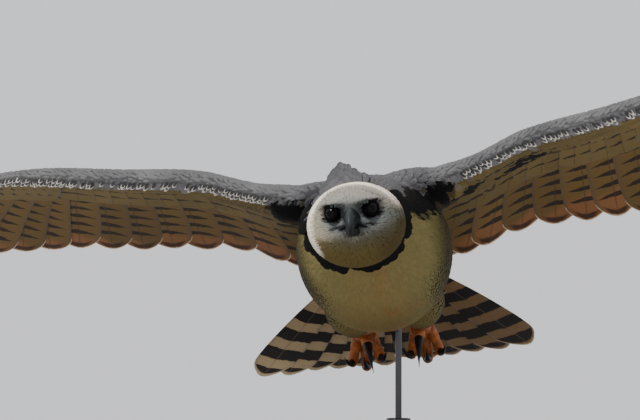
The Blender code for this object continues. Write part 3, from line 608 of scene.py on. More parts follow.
def small_feather(rows, widths):
    """Template of a small feather: place across and along, layer above or below, and its quads."""
    last = len(rows) - 1
    across = [u * width for width in widths for u in (-1, 0, 1)] + [0] * (last - 1)
    forth = [row for row in rows for _ in range(3)] + list(rows[1:last])
    layer = [0, 0, 0] + [0, 1, 0] * (last - 1) + [0, 0, 0] + [-1] * (last - 1)
    quads = []
    for n in range(last):
        for c in (0, 1):
            top = [3 * n + c, 3 * n + c + 1, 3 * n + c + 4, 3 * n + c + 3]
            # Below, the inner points of the shaft have twins at the end of the list
            low = [3 * last + 2 + k // 3 if k % 3 == 1 and 0 < k // 3 < last else k for k in top]
            quads += [top, low[::-1]]
    return np.array(across, float), np.array(forth, float), np.array(layer, float), np.array(quads)


SMALL_THICK = 0.0003
DOWN_FEATHER = small_feather((0, 0.38, 0.76, 1.0), (0.45, 0.95, 0.85, 0.30))
SCALE_FEATHER = small_feather((0, 0.30, 0.62, 0.86, 1.0), (0.45, 0.92, 1.0, 0.76, 0.26))


def grain(points, size, seed=0.0):
    """Smooth noise from about -1 to 1, with features of the given size."""
    p = points / size + seed
    x, y, z = p[..., 0], p[..., 1], p[..., 2]
    first = np.sin(x + 1.7 * np.sin(y * 0.9 + 0.6)) * np.sin(y * 1.1 + 1.3 * np.sin(z + seed))
    second = np.sin(1.9 * z + 1.1 * np.sin(x * 1.3)) * np.sin(2.1 * x + 0.7 * y + 2.0)
    return 0.65 * first + 0.45 * second


# The white underparts coloured olive as painted shade and painted warm light bounced from below
SHADED_BELLY = tint(128, 112, 70)
SHADED_BREAST = tint(124, 109, 68)
SLATE = tint(76, 75, 76)
MANTLE = tint(76, 75, 77)
CROWN = tint(140, 133, 123)
CREAM_RIM_AND_LIGHT = tint(238, 226, 204)
LORE = tint(86, 92, 94)
CHEEK = tint(178, 165, 136)
SHADED_CHEEK = tint(92, 90, 76)
# Painted shade of the chin and lower face
SHADED_CHIN = tint(92, 79, 43)
BLACK = tint(12, 11, 10)
WING_TOP = tint(98, 97, 97)
# Below the wings: olive as painted shade
SHADED_WING_UNDER = tint(108, 92, 54)
THIGH = tint(134, 118, 76)
RUST = tint(146, 82, 42)


def depth_of(points):
    """How far points lie behind the front edge of the wing."""
    return points[:, 1] - along(WING_FRONT, np.abs(points[:, 0]))[0]


def in_head(points):
    return moved(points, HEAD.inverted())


def blotches(points):
    """Black blotches under the bird's left wing, nearest the body: 1 inside them."""
    x, depth = points[:, 0], depth_of(points)
    spots = grain(points * (0.50, 0.85, 0.0), 0.0092, 6.0) + 0.3 * grain(points, 0.021, 5.0)
    share = ease(spots, -0.10, 0.12) * ease(x, 0.12, 0.13) * (1 - ease(x, 0.24, 0.33))
    inner = 1 - ease(x, 0.15, 0.18)
    return share * ease(depth, 0.028, 0.040) * (1 - ease(depth, 0.100 + 0.05 * inner, 0.140 + 0.06 * inner))


def plumage(points, normals):
    """Colour of the small feathers at points of the skin, and their dark streaks, pale tips and fine bars."""
    x, y, z = points.T
    side = np.abs(x)
    rough = grain(points, 0.007, 2.0)
    broad = grain(points, 0.021, 5.0)

    # Torso: pale below but coloured olive as painted shade, slate above, dark strokes on the flanks
    body = np.array(BODY_SECTIONS)
    middle = along(body, np.interp(y, body[:, 1], body[:, 0]))[1]
    angle = np.degrees(np.arctan2(z - middle, np.maximum(side, 0.001)))
    colour = blended(SHADED_BELLY, SHADED_BREAST, ease(-y, 0.02, 0.14) * 0.8)
    # Painted light: the down-facing rear of the belly lighter, to make up for its shade
    colour = colour * (1 + 0.45 * ease(y, -0.03, 0.05) * ease(-angle, 50, 72))[:, None]
    rust = ease(broad + 0.4 * rough, 0.30, 0.75) * hill(side, 0.050)
    rust = rust * hill(y + 0.05, 0.09) * ease(-angle, 30, 50)
    colour = blended(colour, RUST, rust * 0.55)
    streak = ease(-angle, -34, -18) * ease(angle, -62, -42) * ease(y, -0.12, -0.07)
    # Painted shade: the flanks darker under the wings
    colour = colour * (1 - 0.64 * ease(side, 0.074, 0.108))[:, None]
    colour = colour * (1 - np.array((0.09, 0.0, 0.0)) * ease(side, 0.02, 0.07)[:, None])
    rump = 26 * ease(y, 0.06, 0.13)
    back = ease(angle + 4 * rough, 26 - rump, 42 - rump)
    below = along(WING_FRONT, side)[1] - z + 0.004 * rough
    under_nose = ease(below, 0.002, 0.009)
    back = np.maximum(back, 1 - under_nose)
    colour = blended(colour, MANTLE, back)
    edge_height = z + 0.006 * rough - 0.25 * (side - 0.07)
    patch = ease(edge_height, 0.016, 0.024) * ease(side + 0.008 * rough, 0.050, 0.060) * ease(-y, 0.07, 0.09)
    patch = patch * under_nose
    colour = blended(colour, BLACK, patch)
    edge = back * 0.11
    streak = streak * (1 - back)

    # Thighs: pale, finely barred
    thigh = ease(-z, 0.050, 0.070) * ease(y, 0.09, 0.12) * ease(side, 0.012, 0.026)
    bars = thigh * 0.8
    colour = blended(colour, THIGH, thigh * (1 - back))

    # Neck: slate above and at the sides, black below the face
    neck = ease(-y, 0.128, 0.150) * (side < 0.095)
    low = np.degrees(np.arctan2(z + 0.004, np.abs(x + 0.008)))
    grey_neck = neck * ease(low + 6 * broad, 26, 40) * (1 - patch)
    colour = blended(colour, SLATE, grey_neck)
    chest = ease(-y, 0.120, 0.135) * ease(z + 0.005 * rough + 0.012 * (x < 0), 0.006, 0.014) * (side < 0.110)
    chest = chest * under_nose
    colour = blended(colour, BLACK, chest * (1 - grey_neck))
    streak = streak * (1 - neck) * (1 - patch)
    collar = ease(-y, 0.196, 0.206) * (1 - ease(low, 16, 34))
    colour = blended(colour, BLACK, collar)

    # Head: a pale disc with blue-grey lores, a greyer forehead and a cream rim, with painted light on the rim
    # and painted shade on the chin and the bird's left cheek
    hx, hy, hz = in_head(points).T
    aside = np.abs(hx)
    on_head = ((hy < NAPE_CUT) & (side < 0.10) & (y < -0.18)).astype(float)
    disc = np.sqrt((hx / HEAD_HALF[0]) ** 2 + (hz / HEAD_HALF[1]) ** 2)
    face = blended(CHEEK, CROWN, ease(hz, 0.012, 0.034))
    face = blended(face, SHADED_CHEEK, ease(hx, 0.018, 0.046) * ease(-hz, -0.030, -0.012))
    # Painted shade over the chin and lower face, darker on the bird's left
    shade = -hz + 0.16 * aside + 0.12 * hx + 0.002 * rough
    face = blended(face, SHADED_CHIN * (1 - 0.35 * ease(hx, 0.01, 0.05))[:, None], ease(shade, 0.008, 0.022))
    lores = hill(hx, 0.046) * hill(hz - 0.008, 0.024) * ease(-hy, 0.018, 0.036)
    face = blended(face, LORE, np.clip(lores * 1.5, 0, 0.95))
    # Painted shade of the sunken eye hollows under the brow, over the dark skin round each eye
    socket = (((aside - 0.0275) / 0.0134) ** 4 + ((hz - 0.0190) / 0.0130) ** 4) ** 0.25
    socket = (1 - ease(socket, 0.84, 1.12)) * (1 - ease(hz, 0.0305, 0.0330)) * ease(-hy, 0.01, 0.02)
    face = blended(face, BLACK, socket)
    gape = hill(hz + 0.0010 + 0.20 * np.maximum(0, aside - 0.020), 0.0026)
    gape = gape * (1 - ease(aside, 0.026, 0.033))
    face = blended(face, BLACK, gape * 0.95 * ease(-hy, 0.02, 0.03))
    # The cream rim of the disc, with painted light making it brighter at the top and on the bird's right
    rim = ease(disc + 0.10 * ease(-hx, 0.03, 0.06), 0.80, 0.93)
    rim = rim * ease(hz - 0.35 * hx + 0.012 + 0.026 * ease(-hx, 0.03, 0.06), 0.0, 0.03)
    face = blended(face, CREAM_RIM_AND_LIGHT, rim * 0.95)
    face = blended(face, blended(SLATE, BLACK, 1 - ease(hz, -0.012, 0.020)), ease(hy, -0.004, 0.008))
    lines = ease(np.sin(75 * disc + 3 * grain(points, 0.02, 9.0)), 0.2, 0.9)
    face = face * (1 - 0.34 * lines * ease(disc, 0.62, 0.74) * ease(hz, -0.02, 0.01))[:, None]
    colour = blended(colour, face, on_head)
    streak = streak * (1 - on_head)
    edge = edge * (1 - on_head)

    # Wings: grey above, plain olive below as painted shade, with black blotches by the body
    wing = wing_share(points)
    depth, down = depth_of(points), -normals[:, 2]
    under = ease(down, 0.50, 0.62) * ease(depth + 0.001 * rough, 0.0135, 0.0165)
    under = np.maximum(under, ease(below, 0.010, 0.016) * (1 - ease(side, 0.15, 0.17)))
    top_colour = blended(WING_TOP, SLATE, 0.5 + 0.4 * broad)
    # Painted light: the wing's down-facing surfaces lighter, to make up for their shade
    top_colour = top_colour * (1.08 + 0.90 * ease(down, -0.2, 0.5) * ease(side, 0.08, 0.12))[:, None]
    arm_colour = blended(top_colour, SHADED_WING_UNDER * (1 + 0.10 * broad)[:, None], under)
    arm_edge = 0.10 * (1 - under) * ease(depth, 0.02, 0.04)
    left = (x > 0).astype(float)
    dark = ease(blotches(points), 0.35, 0.60) * under
    shoulder = ease(0.150 - 0.020 * left + 0.008 * rough - side, 0.0, 0.006) * ease(below, 0.002, 0.008)
    near_front = 1 - ease(depth + 0.03 * broad, 0.05 + 0.08 * left, 0.07 + 0.10 * left)
    dark = np.maximum(dark, shoulder * near_front)
    arm_colour = blended(arm_colour, BLACK, dark)
    arm_streak = under * (1 - left) * ease(0.26 - side, 0, 0.06) * 0.8 * ease(depth, 0.012, 0.025)
    colour = blended(colour, arm_colour, wing)
    streak = streak * (1 - wing) + arm_streak * wing
    edge = edge * (1 - wing) + arm_edge * wing
    bars = bars * (1 - wing)
    return np.clip(colour, 0.004, 1), xyz(streak, edge, bars)


def lie_of(points, normals):
    """The way that the small feathers lie at points of the skin."""
    x, y, z = points.T
    side, out = np.abs(x), np.sign(x)
    lie = xyz(0.20 * out * ease(side, 0.02, 0.10), 1.0, 0.0)
    lie = blended(lie, xyz(-0.05 * out, 1.0, -0.10), ease(-z, 0.050, 0.070) * ease(y, 0.09, 0.12))
    nose = ease(np.abs(normals[:, 1]), 0.72, 0.92) * (normals[:, 1] < 0)
    down = ease(-normals[:, 2], -0.2, 0.3)
    wing_lie = blended(xyz(out * 0.30, 1.0, 0.0), xyz(out * (1 - 0.4 * down), 0.3, 0.25 - 0.95 * down), nose)
    lie = blended(lie, wing_lie, wing_share(points))
    h = in_head(points)
    radial = h - np.array((0, -0.055, 0.004))
    radial[:, 1] = 0.35 * np.maximum(radial[:, 1], 0) + 0.010
    on_head = ((h[:, 1] < 0.030) & (side < 0.10) & (y < -0.17))[:, None]
    return unit(np.where(on_head, unit(radial) @ np.array(HEAD.to_3x3()).T, lie))


def keep_clear(points):
    """Where the head carries feathers: not in the eyes, nor under the bill."""
    h = in_head(points)
    free = np.ones(len(points), bool)
    for side in (-1, 1):
        off = h - np.array((side * EYE_AT[0], EYE_AT[1], EYE_AT[2]))
        free &= (np.linalg.norm(off, axis=1) > EYE_RADIUS + 0.0022) | ((off[:, 2] > 0.0080) & (off[:, 1] < 0))
    bill = (np.abs(h[:, 0]) < 0.0120) & (h[:, 1] < -0.042) & (h[:, 2] < 0.026) & (h[:, 2] > -0.0155)
    return free & ~bill


def on_face(points, normals):
    return (in_head(points)[:, 1] < -0.004) & (np.abs(points[:, 0]) < 0.10) & (points[:, 1] < -0.18)


def on_nape(points, normals):
    return ~on_face(points, normals) & (points[:, 1] < -0.150) & (np.abs(points[:, 0]) < 0.090)


def on_wing(points, normals):
    return wing_share(points) > 0.5


def on_thigh(points, normals):
    return (points[:, 1] > 0.095) & (points[:, 2] < -0.046) & ~on_wing(points, normals)


def on_trunk(points, normals):
    """Where no other area lies."""
    return ~np.any([area(points, normals) for area in (on_face, on_nape, on_wing, on_thigh)], axis=0)


def on_back(points, normals):
    return on_trunk(points, normals) & (points[:, 2] > 0.012) & (points[:, 1] > -0.080)


def on_mantle(points, normals):
    return on_trunk(points, normals) & (points[:, 2] > 0.012) & (points[:, 1] <= -0.080)


def on_belly(points, normals):
    return on_trunk(points, normals) & (points[:, 2] <= 0.012)


def arm_area(side, front_edge):
    """The front edge of one wing, or the rest of it."""
    def area(points, normals):
        edge = (depth_of(points) < 0.016) & (points[:, 1] < -0.04)
        return on_wing(points, normals) & (edge == front_edge) & (side * points[:, 0] > 0)

    return area


def on_crescents(points, normals):
    """Where the white crescents lie: one row above the lower border, and more by the body and the hand."""
    side, down, depth = np.abs(points[:, 0]), -normals[:, 2], depth_of(points)
    last_row = (depth > 0.0035) & (down > 0.2)
    many = ((side < 0.230) | (side > 0.46)) & (down > -0.10)
    return (side > 0.145) & (side < 0.60) & (depth < 0.0080) & (last_row | many) & (normals[:, 1] < -0.1)


# Coats: name, slot, where, spacing, shape, length, half width, lift
ARM_COAT = (0.0074, SCALE_FEATHER, 0.0270, 0.0066, 0.0012)
EDGE_COAT = (0.0036, DOWN_FEATHER, 0.0125, 0.0026, 0.0010)
COATS = (
    ("face_feathers", "pale_plumage", on_face, 0.0022, DOWN_FEATHER, 0.0085, 0.0016, 0.0008),
    ("neck_feathers", "slate_plumage", on_nape, 0.0040, DOWN_FEATHER, 0.0160, 0.0032, 0.0012),
    ("belly_feathers", "pale_plumage", on_belly, 0.0040, DOWN_FEATHER, 0.0240, 0.0036, 0.0010),
    ("back_feathers", "slate_plumage", on_back, 0.0080, SCALE_FEATHER, 0.0290, 0.0080, 0.0020),
    ("mantle_feathers", "slate_plumage", on_mantle, 0.0050, DOWN_FEATHER, 0.0180, 0.0042, 0.0012),
    ("thigh_feathers", "pale_plumage", on_thigh, 0.0050, SCALE_FEATHER, 0.0200, 0.0042, 0.0016),
    ("arm_feathers_left", "slate_plumage", arm_area(1, False), *ARM_COAT),
    ("edge_feathers_left", "slate_plumage", arm_area(1, True), *EDGE_COAT),
    ("arm_feathers_right", "slate_plumage", arm_area(-1, False), *ARM_COAT),
    ("edge_feathers_right", "slate_plumage", arm_area(-1, True), *EDGE_COAT),
)


def make_coats(ground, materials):
    """The small feathers of the body, one area after another."""
    rng = np.random.default_rng(7)
    for name, slot, chosen, spacing, shape, length, width, lift in COATS:
        roots, normals = ground.scatter(rng, chosen, spacing)
        kept = keep_clear(roots)
        roots, normals = roots[kept], normals[kept]
        hue, mark = plumage(roots, normals)
        plumes = Plumes(rng)
        plumes.lay(ground, shape, roots, normals, lie_of(roots, normals), length, width, lift, hue, mark)
        plumes.made(name, materials["plumage"], slot)


def make_crescents(ground, materials):
    """The white crescents along the front of the wings."""
    rng = np.random.default_rng(17)
    roots, normals = ground.scatter(rng, on_crescents, 0.0050)
    kept = rng.random(len(roots)) > 0.50 * hill(np.abs(roots[:, 0]) - 0.345, 0.085)
    roots, normals = roots[kept], normals[kept]
    lie = xyz(0.6 * np.sign(roots[:, 0]), 0.3, -0.8)
    hue = np.broadcast_to(WING_TOP * 0.7, roots.shape)
    mark = xyz(0.0, rng.uniform(0.50, 0.90, len(roots)), 0.0)
    plumes = Plumes(rng)
    plumes.lay(ground, SCALE_FEATHER, roots, normals, lie, 0.0125, 0.0031, 0.0046, hue, mark, 0.0006)
    plumes.made("crescent_feathers", materials["plumage"], "slate_plumage")


COLUMNS = np.array((-1.0, -0.8, -0.55, -0.28, -0.07, 0.0, 0.07, 0.28, 0.55, 0.8, 1.0))
VANE_TILT, HAND_TILT = 0.0005, 0.0030
TIP_ROUND, WING_TIP, TAIL_TIP = 0.87, 0.84, 0.86


def vane_grid(columns, rows):
    """Place across and along of a feather's two faces, which share their rim, its layers and its quads."""
    last_c, last_r = len(columns) - 1, rows - 1
    v = 1 - (1 - np.linspace(0, 1, rows)) ** 1.7
    across, forth = [a.ravel() for a in np.meshgrid(columns, v)]
    top = np.arange(len(across)).reshape(rows, -1)
    inner = np.zeros(top.shape, bool)
    inner[1:last_r, 1:last_c] = True
    low = top.copy()
    low[inner] = len(across) + np.arange(inner.sum())
    inside = inner.ravel()
    layer = np.concatenate((inside.astype(float), -np.ones(inside.sum())))
    across, forth = np.concatenate((across, across[inside])), np.concatenate((forth, forth[inside]))

    def squares(grid):
        return np.stack((grid[:-1, :-1], grid[:-1, 1:], grid[1:, 1:], grid[1:, :-1]), -1).reshape(-1, 4)

    return across, forth, layer, squares(top), squares(low)[:, ::-1]


def closing(v, start=TIP_ROUND):
    """How a vane's width closes to its round tip."""
    far = np.clip((v - start) / (1 - start), 0, 1)
    return np.maximum(0.10, np.sqrt(1 - far * far))


def facing(points, quads):
    """Smooth normals at the corners of one face of a vane."""
    out = np.cross(points[quads[:, 2]] - points[quads[:, 0]], points[quads[:, 3]] - points[quads[:, 1]])
    total = np.zeros(points.shape)
    for corner in range(4):
        np.add.at(total, quads[:, corner], out)
    return unit(total)[quads.ravel()]


def wing_place(side, root, lean, length, half, shape, heights, tilt, bend=0.0, camber=0.0002):
    def place(u, v):
        angle = np.radians(lean - bend * (v - 0.5))
        forth = np.stack((np.sin(angle), np.cos(angle)), -1)
        right = np.stack((np.cos(angle), -np.sin(angle)), -1)
        width = along(shape, v)[0] * closing(v, WING_TIP)
        spot = np.array(root) + forth * (length * v)[:, None] + right * (half * width * u)[:, None]
        curl = 0.42 * tilt * (ease(-u, 0.6, 1.0) - ease(u, 0.6, 1.0))
        lift = heights[0] + (heights[1] - heights[0]) * v + tilt * u * width + curl * width - camber * u * u
        return wing_point(side, spot[:, 0], spot[:, 1], lift)

    return place


ROUND_VANE = ((0.0, 0.32), (0.30, 0.88), (0.62, 1.00), (0.86, 0.90), (1.0, 0.66))
# Wing rows: table, count, widths, heights at root and tip, thickness, tilt, bend, grid rows, share of length
WING_ROWS = (
    (SECONDARY_ROW, 9, ROUND_VANE, (0.0, 0.0), 0.0005, VANE_TILT, 0.0, 26, 1.0),
    (UPPER_COVERT_ROW, 15, COVERT_SHAPE, (0.0052, 0.0022), 0.0005, VANE_TILT, 0.0, 14, 1.0),
    (UNDER_COVERT_ROW, 13, COVERT_SHAPE, (-0.0048, -0.0018), 0.0005, VANE_TILT, 0.0, 14, 1.0),
    (MEDIAN_COVERT_ROW, 16, COVERT_SHAPE, (0.0096, 0.0050), 0.0005, VANE_TILT, 0.0, 12, 1.0),
    (MEDIAN_COVERT_ROW, 16, COVERT_SHAPE, (-0.0074, -0.0034), 0.0005, VANE_TILT, 0.0, 12, 0.86),
    (PRIMARY_ROW, 10, BROAD_VANE, (0.0, 0.0), 0.0009, HAND_TILT, 6.0, 28, 1.0),
    (UPPER_HAND_ROW, 11, COVERT_SHAPE, (0.0064, 0.0050), 0.0005, VANE_TILT, 0.0, 14, 1.0),
    (UNDER_HAND_ROW, 10, COVERT_SHAPE, (-0.0070, -0.0045), 0.0005, VANE_TILT, 0.0, 14, 1.0),
)
# The faces below coloured olive as painted shade
FLIGHT_TOP, SHADED_FLIGHT_LOW = tint(76, 74, 72), tint(108, 84, 44)
COVERT_TOP, SHADED_COVERT_LOW = tint(90, 89, 89), tint(108, 90, 50)
TAIL_TOP, TAIL_LOW = tint(120, 114, 104), tint(150, 118, 78)


FINGERS = 6
# Scapulars over the wing root and axillars under it: share, root x, root y, lean, length, half width
SCAPULAR_ROW = (
    (0.00, 0.134, 0.004, -6.0, 0.178, 0.024),
    (1.00, 0.070, -0.010, 4.0, 0.150, 0.022),
)
AXILLAR_ROW = (
    (0.00, 0.140, -0.010, -8.0, 0.160, 0.022),
    (1.00, 0.100, -0.020, -2.0, 0.150, 0.020),
)
SHOULDER_ROWS = (
    (SCAPULAR_ROW, 6, (0.0110, 0.0040)),
    (AXILLAR_ROW, 4, (-0.0085, -0.0040)),
)


def stained(points):
    return -blotches(points)


def make_wing(side, materials):
    """The flight feathers and long coverts of one wing."""
    rng = np.random.default_rng(30 + side)
    plumes = Plumes(rng)
    for table, total, shape, heights, thick, tilt, bend, rows, share in WING_ROWS:
        grid = vane_grid(COLUMNS, rows)
        flight = table in (PRIMARY_ROW, SECONDARY_ROW)
        top, low = (FLIGHT_TOP, SHADED_FLIGHT_LOW) if flight else (COVERT_TOP, SHADED_COVERT_LOW)
        kind = 1.0 if flight else stained if side > 0 and heights[0] < 0 else 0.0
        for n in range(total):
            x, y, lean, length, half = (float(value) for value in along(table, n / (total - 1)))
            vane_shape = FINGER_VANE if table is PRIMARY_ROW and n >= total - FINGERS else shape
            length = length * share * rng.uniform(0.975, 1.02)
            place = wing_place(side, (x, y), lean, length, half, vane_shape, heights, tilt, bend)
            shade = rng.uniform(0.93, 1.07)
            plumes.vane(grid, place, length, thick, top * shade, low * shade, kind=kind, tip=WING_TIP)
    # The thumb's feathers
    grid = vane_grid(COLUMNS, 14)
    for n in range(3):
        length, heights = 0.130 - 0.022 * n, (0.0085 + 0.0012 * n,) * 2
        lean = 66.0 - 3 * n
        place = wing_place(side, (0.478, -0.134), lean, length, 0.017, COVERT_SHAPE, heights, VANE_TILT)
        plumes.vane(grid, place, 0.12, 0.0006, COVERT_TOP, SHADED_COVERT_LOW, tip=WING_TIP)
    grid = vane_grid(COLUMNS, 16)
    for table, total, heights in SHOULDER_ROWS:
        for n in range(total):
            x, y, lean, length, half = (float(value) for value in along(table, n / (total - 1)))
            length *= rng.uniform(0.96, 1.03)
            place = wing_place(side, (x, y), lean, length, half, COVERT_SHAPE, heights, VANE_TILT)
            shade = rng.uniform(0.93, 1.07)
            plumes.vane(grid, place, length, 0.0006, COVERT_TOP * shade, SHADED_COVERT_LOW * shade, tip=WING_TIP)
    word = "left" if side > 0 else "right"
    nodes = (f"wing_{word}_inner", f"wing_{word}_outer")
    plumes.made(f"wing_feathers_{word}", materials["wing_vane"], "barred_vanes", *nodes)


def tail_place(lean, length, half, shape, start, height, tilt, side=0):
    def place(u, v):
        angle = math.radians(lean)
        forth = np.array((math.sin(angle), math.cos(angle)))
        right = np.array((math.cos(angle), -math.sin(angle)))
        width = along(shape, v)[0] * closing(v, TAIL_TIP)
        shaft = forth * (start + length * v)[:, None]
        out = shaft + right * (half * width * u)[:, None]
        if side:
            out[:, 0] = side * np.maximum(side * out[:, 0], GAP * 2)
        lift = height + tilt * ((out - shaft) @ right) / half
        lift = lift - 0.10 * (out[:, 0] ** 2 + 0.02 * np.abs(out[:, 0])) - 0.0006 * u * u
        return moved(np.column_stack((out, lift)), FAN)

    return place


TAIL_SHAPE = ((0.0, 0.16), (0.30, 0.62), (0.60, 0.90), (0.86, 0.96), (1.0, 0.62))


TAIL_LIT_LOW = tint(178, 154, 116)
# Added to a tail covert's length so that it carries no bar
PAST_BARS = 0.6
# Tail coverts above and below: height, colours of the two faces
TAIL_COVERTS = ((0.0120, SLATE, SLATE), (-0.0090, TAIL_LOW, SHADED_BREAST))


def make_tail(materials):
    """The spread tail and its coverts."""
    rng = np.random.default_rng(50)
    plumes, total, coverts = Plumes(rng), 12, 9
    grid = vane_grid(COLUMNS, 34)
    for n in range(total):
        spread = (2 * n - total + 1) / (total - 1)
        side = int(math.copysign(1, spread)) if n != total // 2 else 0
        length = (TAIL_LENGTH + 0.024 * spread**2) * rng.uniform(0.98, 1.01)
        height, tilt = (0.0, side * TAIL_TILT) if side else (0.005, 0.0)
        place = tail_place(TAIL_SPREAD * spread, length, 0.034, TAIL_SHAPE, TAIL_START, height, tilt, side)
        shade = rng.uniform(0.94, 1.06)
        # Painted light and shade: the feathers on the bird's right paler below, those on its left darker
        pale = blended(TAIL_LOW * 0.72, TAIL_LIT_LOW, float(ease(-spread, -0.2, 0.5)))
        plumes.vane(grid, place, length, 0.0010, TAIL_TOP * shade, pale * shade, tip=TAIL_TIP)
    grid = vane_grid(COLUMNS, 14)
    for height, top, low in TAIL_COVERTS:
        for n in range(coverts):
            spread = 2 * n / (coverts - 1) - 1
            length = 0.135 - 0.020 * spread * spread
            place = tail_place(19 * spread, length, 0.026, COVERT_SHAPE, 0.125, height, 0.0025)
            plumes.vane(grid, place, length + PAST_BARS, 0.0006, top, low, tip=TAIL_TIP)
    plumes.made("tail_feathers", materials["tail_vane"], "barred_vanes", "tail")


CREST_CELLS = 18
# Rows of the crest, the highest last: rise, length, swing, half width of the roots, feathers, tiers
CREST_ROWS = (
    (12.0, 0.074, 34.0, 0.040, 15, 3),
    (20.0, 0.080, 28.0, 0.034, 15, 3),
    (27.0, 0.088, 22.0, 0.028, 15, 3),
    (33.0, 0.096, 17.0, 0.022, 15, 4),
    (38.0, 0.100, 12.0, 0.017, 13, 4),
    (CREST_RISE, CREST_LENGTH, 8.0, 0.012, 11, 4),
)


def make_crest(materials):
    """The double crest, half raised behind the crown, as two layers of one bowed hump."""
    rng = np.random.default_rng(60)
    plumes = Plumes(rng, CREST_CELLS)
    grid = vane_grid(COLUMNS, 12)
    for turn, longest, swing, apart, total, tiers in CREST_ROWS:
        rise = math.radians(turn)
        up = np.array((0, -math.sin(rise), math.cos(rise)))
        for n in range(total * tiers):
            tier, n = divmod(n, total)
            spread = (2 * n - total + 1 + 0.9 * (tier % 2)) / (total - 1)
            lean = math.radians(swing * spread - 9 + rng.uniform(-2, 2))
            full = longest * (1 - 0.30 * abs(spread + 0.12)) * rng.uniform(0.94, 1.02)
            start = full * 0.62 * tier / tiers
            length = full * (1 - 0.85 * (tiers - 1 - tier) / tiers) - start

            def place(u, v):
                width = along(CREST_SHAPE, v)[0] * closing(v)
                reach = start + length * v
                p = apart * spread + math.sin(lean) * reach + math.cos(lean) * 0.0062 * width * u
                q = math.cos(lean) * reach - math.sin(lean) * 0.0062 * width * u
                bow = 5.0 * p * p + 1.0 * q * q
                spot = xyz(p - 0.004, -0.004 + q * math.cos(rise), 0.040 + q * math.sin(rise))
                lift = 0.0012 * width * u - bow + 0.0008 * (tiers - tier)
                return moved(spot + up * lift[:, None], HEAD)

            hue = SLATE * rng.uniform(0.90, 1.10)
            plumes.vane(grid, place, length, 0.0005, hue, hue * 0.8, np.array(HEAD.to_3x3()) @ up)
    plumes.made("crest_feathers", materials["dark_vane"], "slate_plumage")


BROW_SHADE = tint(44, 45, 45)


def make_brows(ground, materials):
    """Short feathers that hang from the brow over the top of each eye, coloured near black as painted shade
    over the eyes.
    """
    rng = np.random.default_rng(80)
    plumes, grid = Plumes(rng), vane_grid(COLUMNS[::2], 6)
    hang = np.array((0.0, -0.42, -0.90))
    axis = np.array(HEAD.to_3x3()) @ unit(np.array((0, -0.9, 0.42)))
    for side in (-1, 1):
        for layer, total in enumerate((14, 15, 14)):
            for n in range(total):
                spread = 2 * (n + 0.5 * (layer % 2)) / total - 1
                root = (side * (0.0275 + 0.0140 * spread), -0.075, 0.0345 - 0.0012 * layer + 0.0015 * spread)
                found, out = ground.nearest(moved(np.array([root]), HEAD))
                root = moved(found - out * 0.0006, HEAD.inverted())[0]
                swing = np.array((side * (0.30 * spread + 0.20), 0, 0))
                away = unit(hang + swing + rng.normal(0, 0.05, 3))
                across = unit(np.cross(away, (0, -1, 0.3)))
                length = 0.0068 * (1 - 0.35 * abs(spread)) * rng.uniform(0.85, 1.1)

                def place(u, v):
                    width = along(COVERT_SHAPE, v)[0] * closing(v)
                    spot = root + away * (length * v)[:, None] + across * (0.0014 * width * u)[:, None]
                    return moved(spot, HEAD)

                # Painted shade: the brow feathers dark, as the shadow over the eyes
                hue = BROW_SHADE * rng.uniform(0.7, 1.2)
                plumes.vane(grid, place, length, 0.0003, hue, hue * 0.5, axis, 0.0001)
    plumes.made("brow_feathers", materials["dark_vane"], "pale_plumage")


PARTING = math.radians(-99)


def make_ruff(materials):
    """The black ruff below and beside the face, as pointed locks in three layers, parted below the chin."""
    rng = np.random.default_rng(70)
    plumes, grid = Plumes(rng), vane_grid(COLUMNS, 10)
    slope = math.tan(math.radians(HEAD_TURN[0]))
    for layer, total in enumerate((23, 22, 23)):
        for n in range(total):
            turn = math.radians(-198 + 216 * (n + 0.5 * (layer % 2)) / (total - 1) + rng.uniform(-3, 3))
            size = rng.uniform(0.84, 1.14) * (1 - 0.30 * hill(turn - PARTING, 0.09))

            def place(u, v):
                width = along(CREST_SHAPE, v)[0] * closing(v)
                angle = turn + 0.14 * width * u
                radius = 0.047 + 0.030 * size * v + 0.006 * np.sin(math.pi * v) + 0.0017 * layer + 0.0006 * u
                radius = radius + 0.007 * v * max(0, math.cos(turn))
                x, z = RUFF_AT[0] + radius * np.cos(angle), RUFF_AT[1] + 0.90 * radius * np.sin(angle)
                return xyz(x, -0.231 - slope * z + 0.038 * v, z)

            axis = (0.6 * math.cos(turn), -0.75, 0.6 * math.sin(turn))
            plumes.vane(grid, place, 0.04, 0.0006, BLACK, BLACK, axis, 0.0004)
    plumes.made("ruff_feathers", materials["dark_vane"], "slate_plumage")


class Value:
    """A shader socket that sums and products can be written with."""

    def __init__(self, look, socket):
        self.look, self.socket = look, socket

    def __add__(self, other):
        return self.look.maths("ADD", self, other)

    def __radd__(self, other):
        return self.look.maths("ADD", other, self)

    def __sub__(self, other):
        return self.look.maths("SUBTRACT", self, other)

    def __rsub__(self, other):
        return self.look.maths("SUBTRACT", other, self)

    def __mul__(self, other):
        return self.look.maths("MULTIPLY", self, other)

    def __rmul__(self, other):
        return self.look.maths("MULTIPLY", other, self)

    def __truediv__(self, other):
        return self.look.maths("DIVIDE", self, other)

    def __abs__(self):
        return self.look.maths("ABSOLUTE", self)

    def fraction(self):
        return self.look.maths("FRACT", self)

    def largest(self, other):
        return self.look.maths("MAXIMUM", self, other)


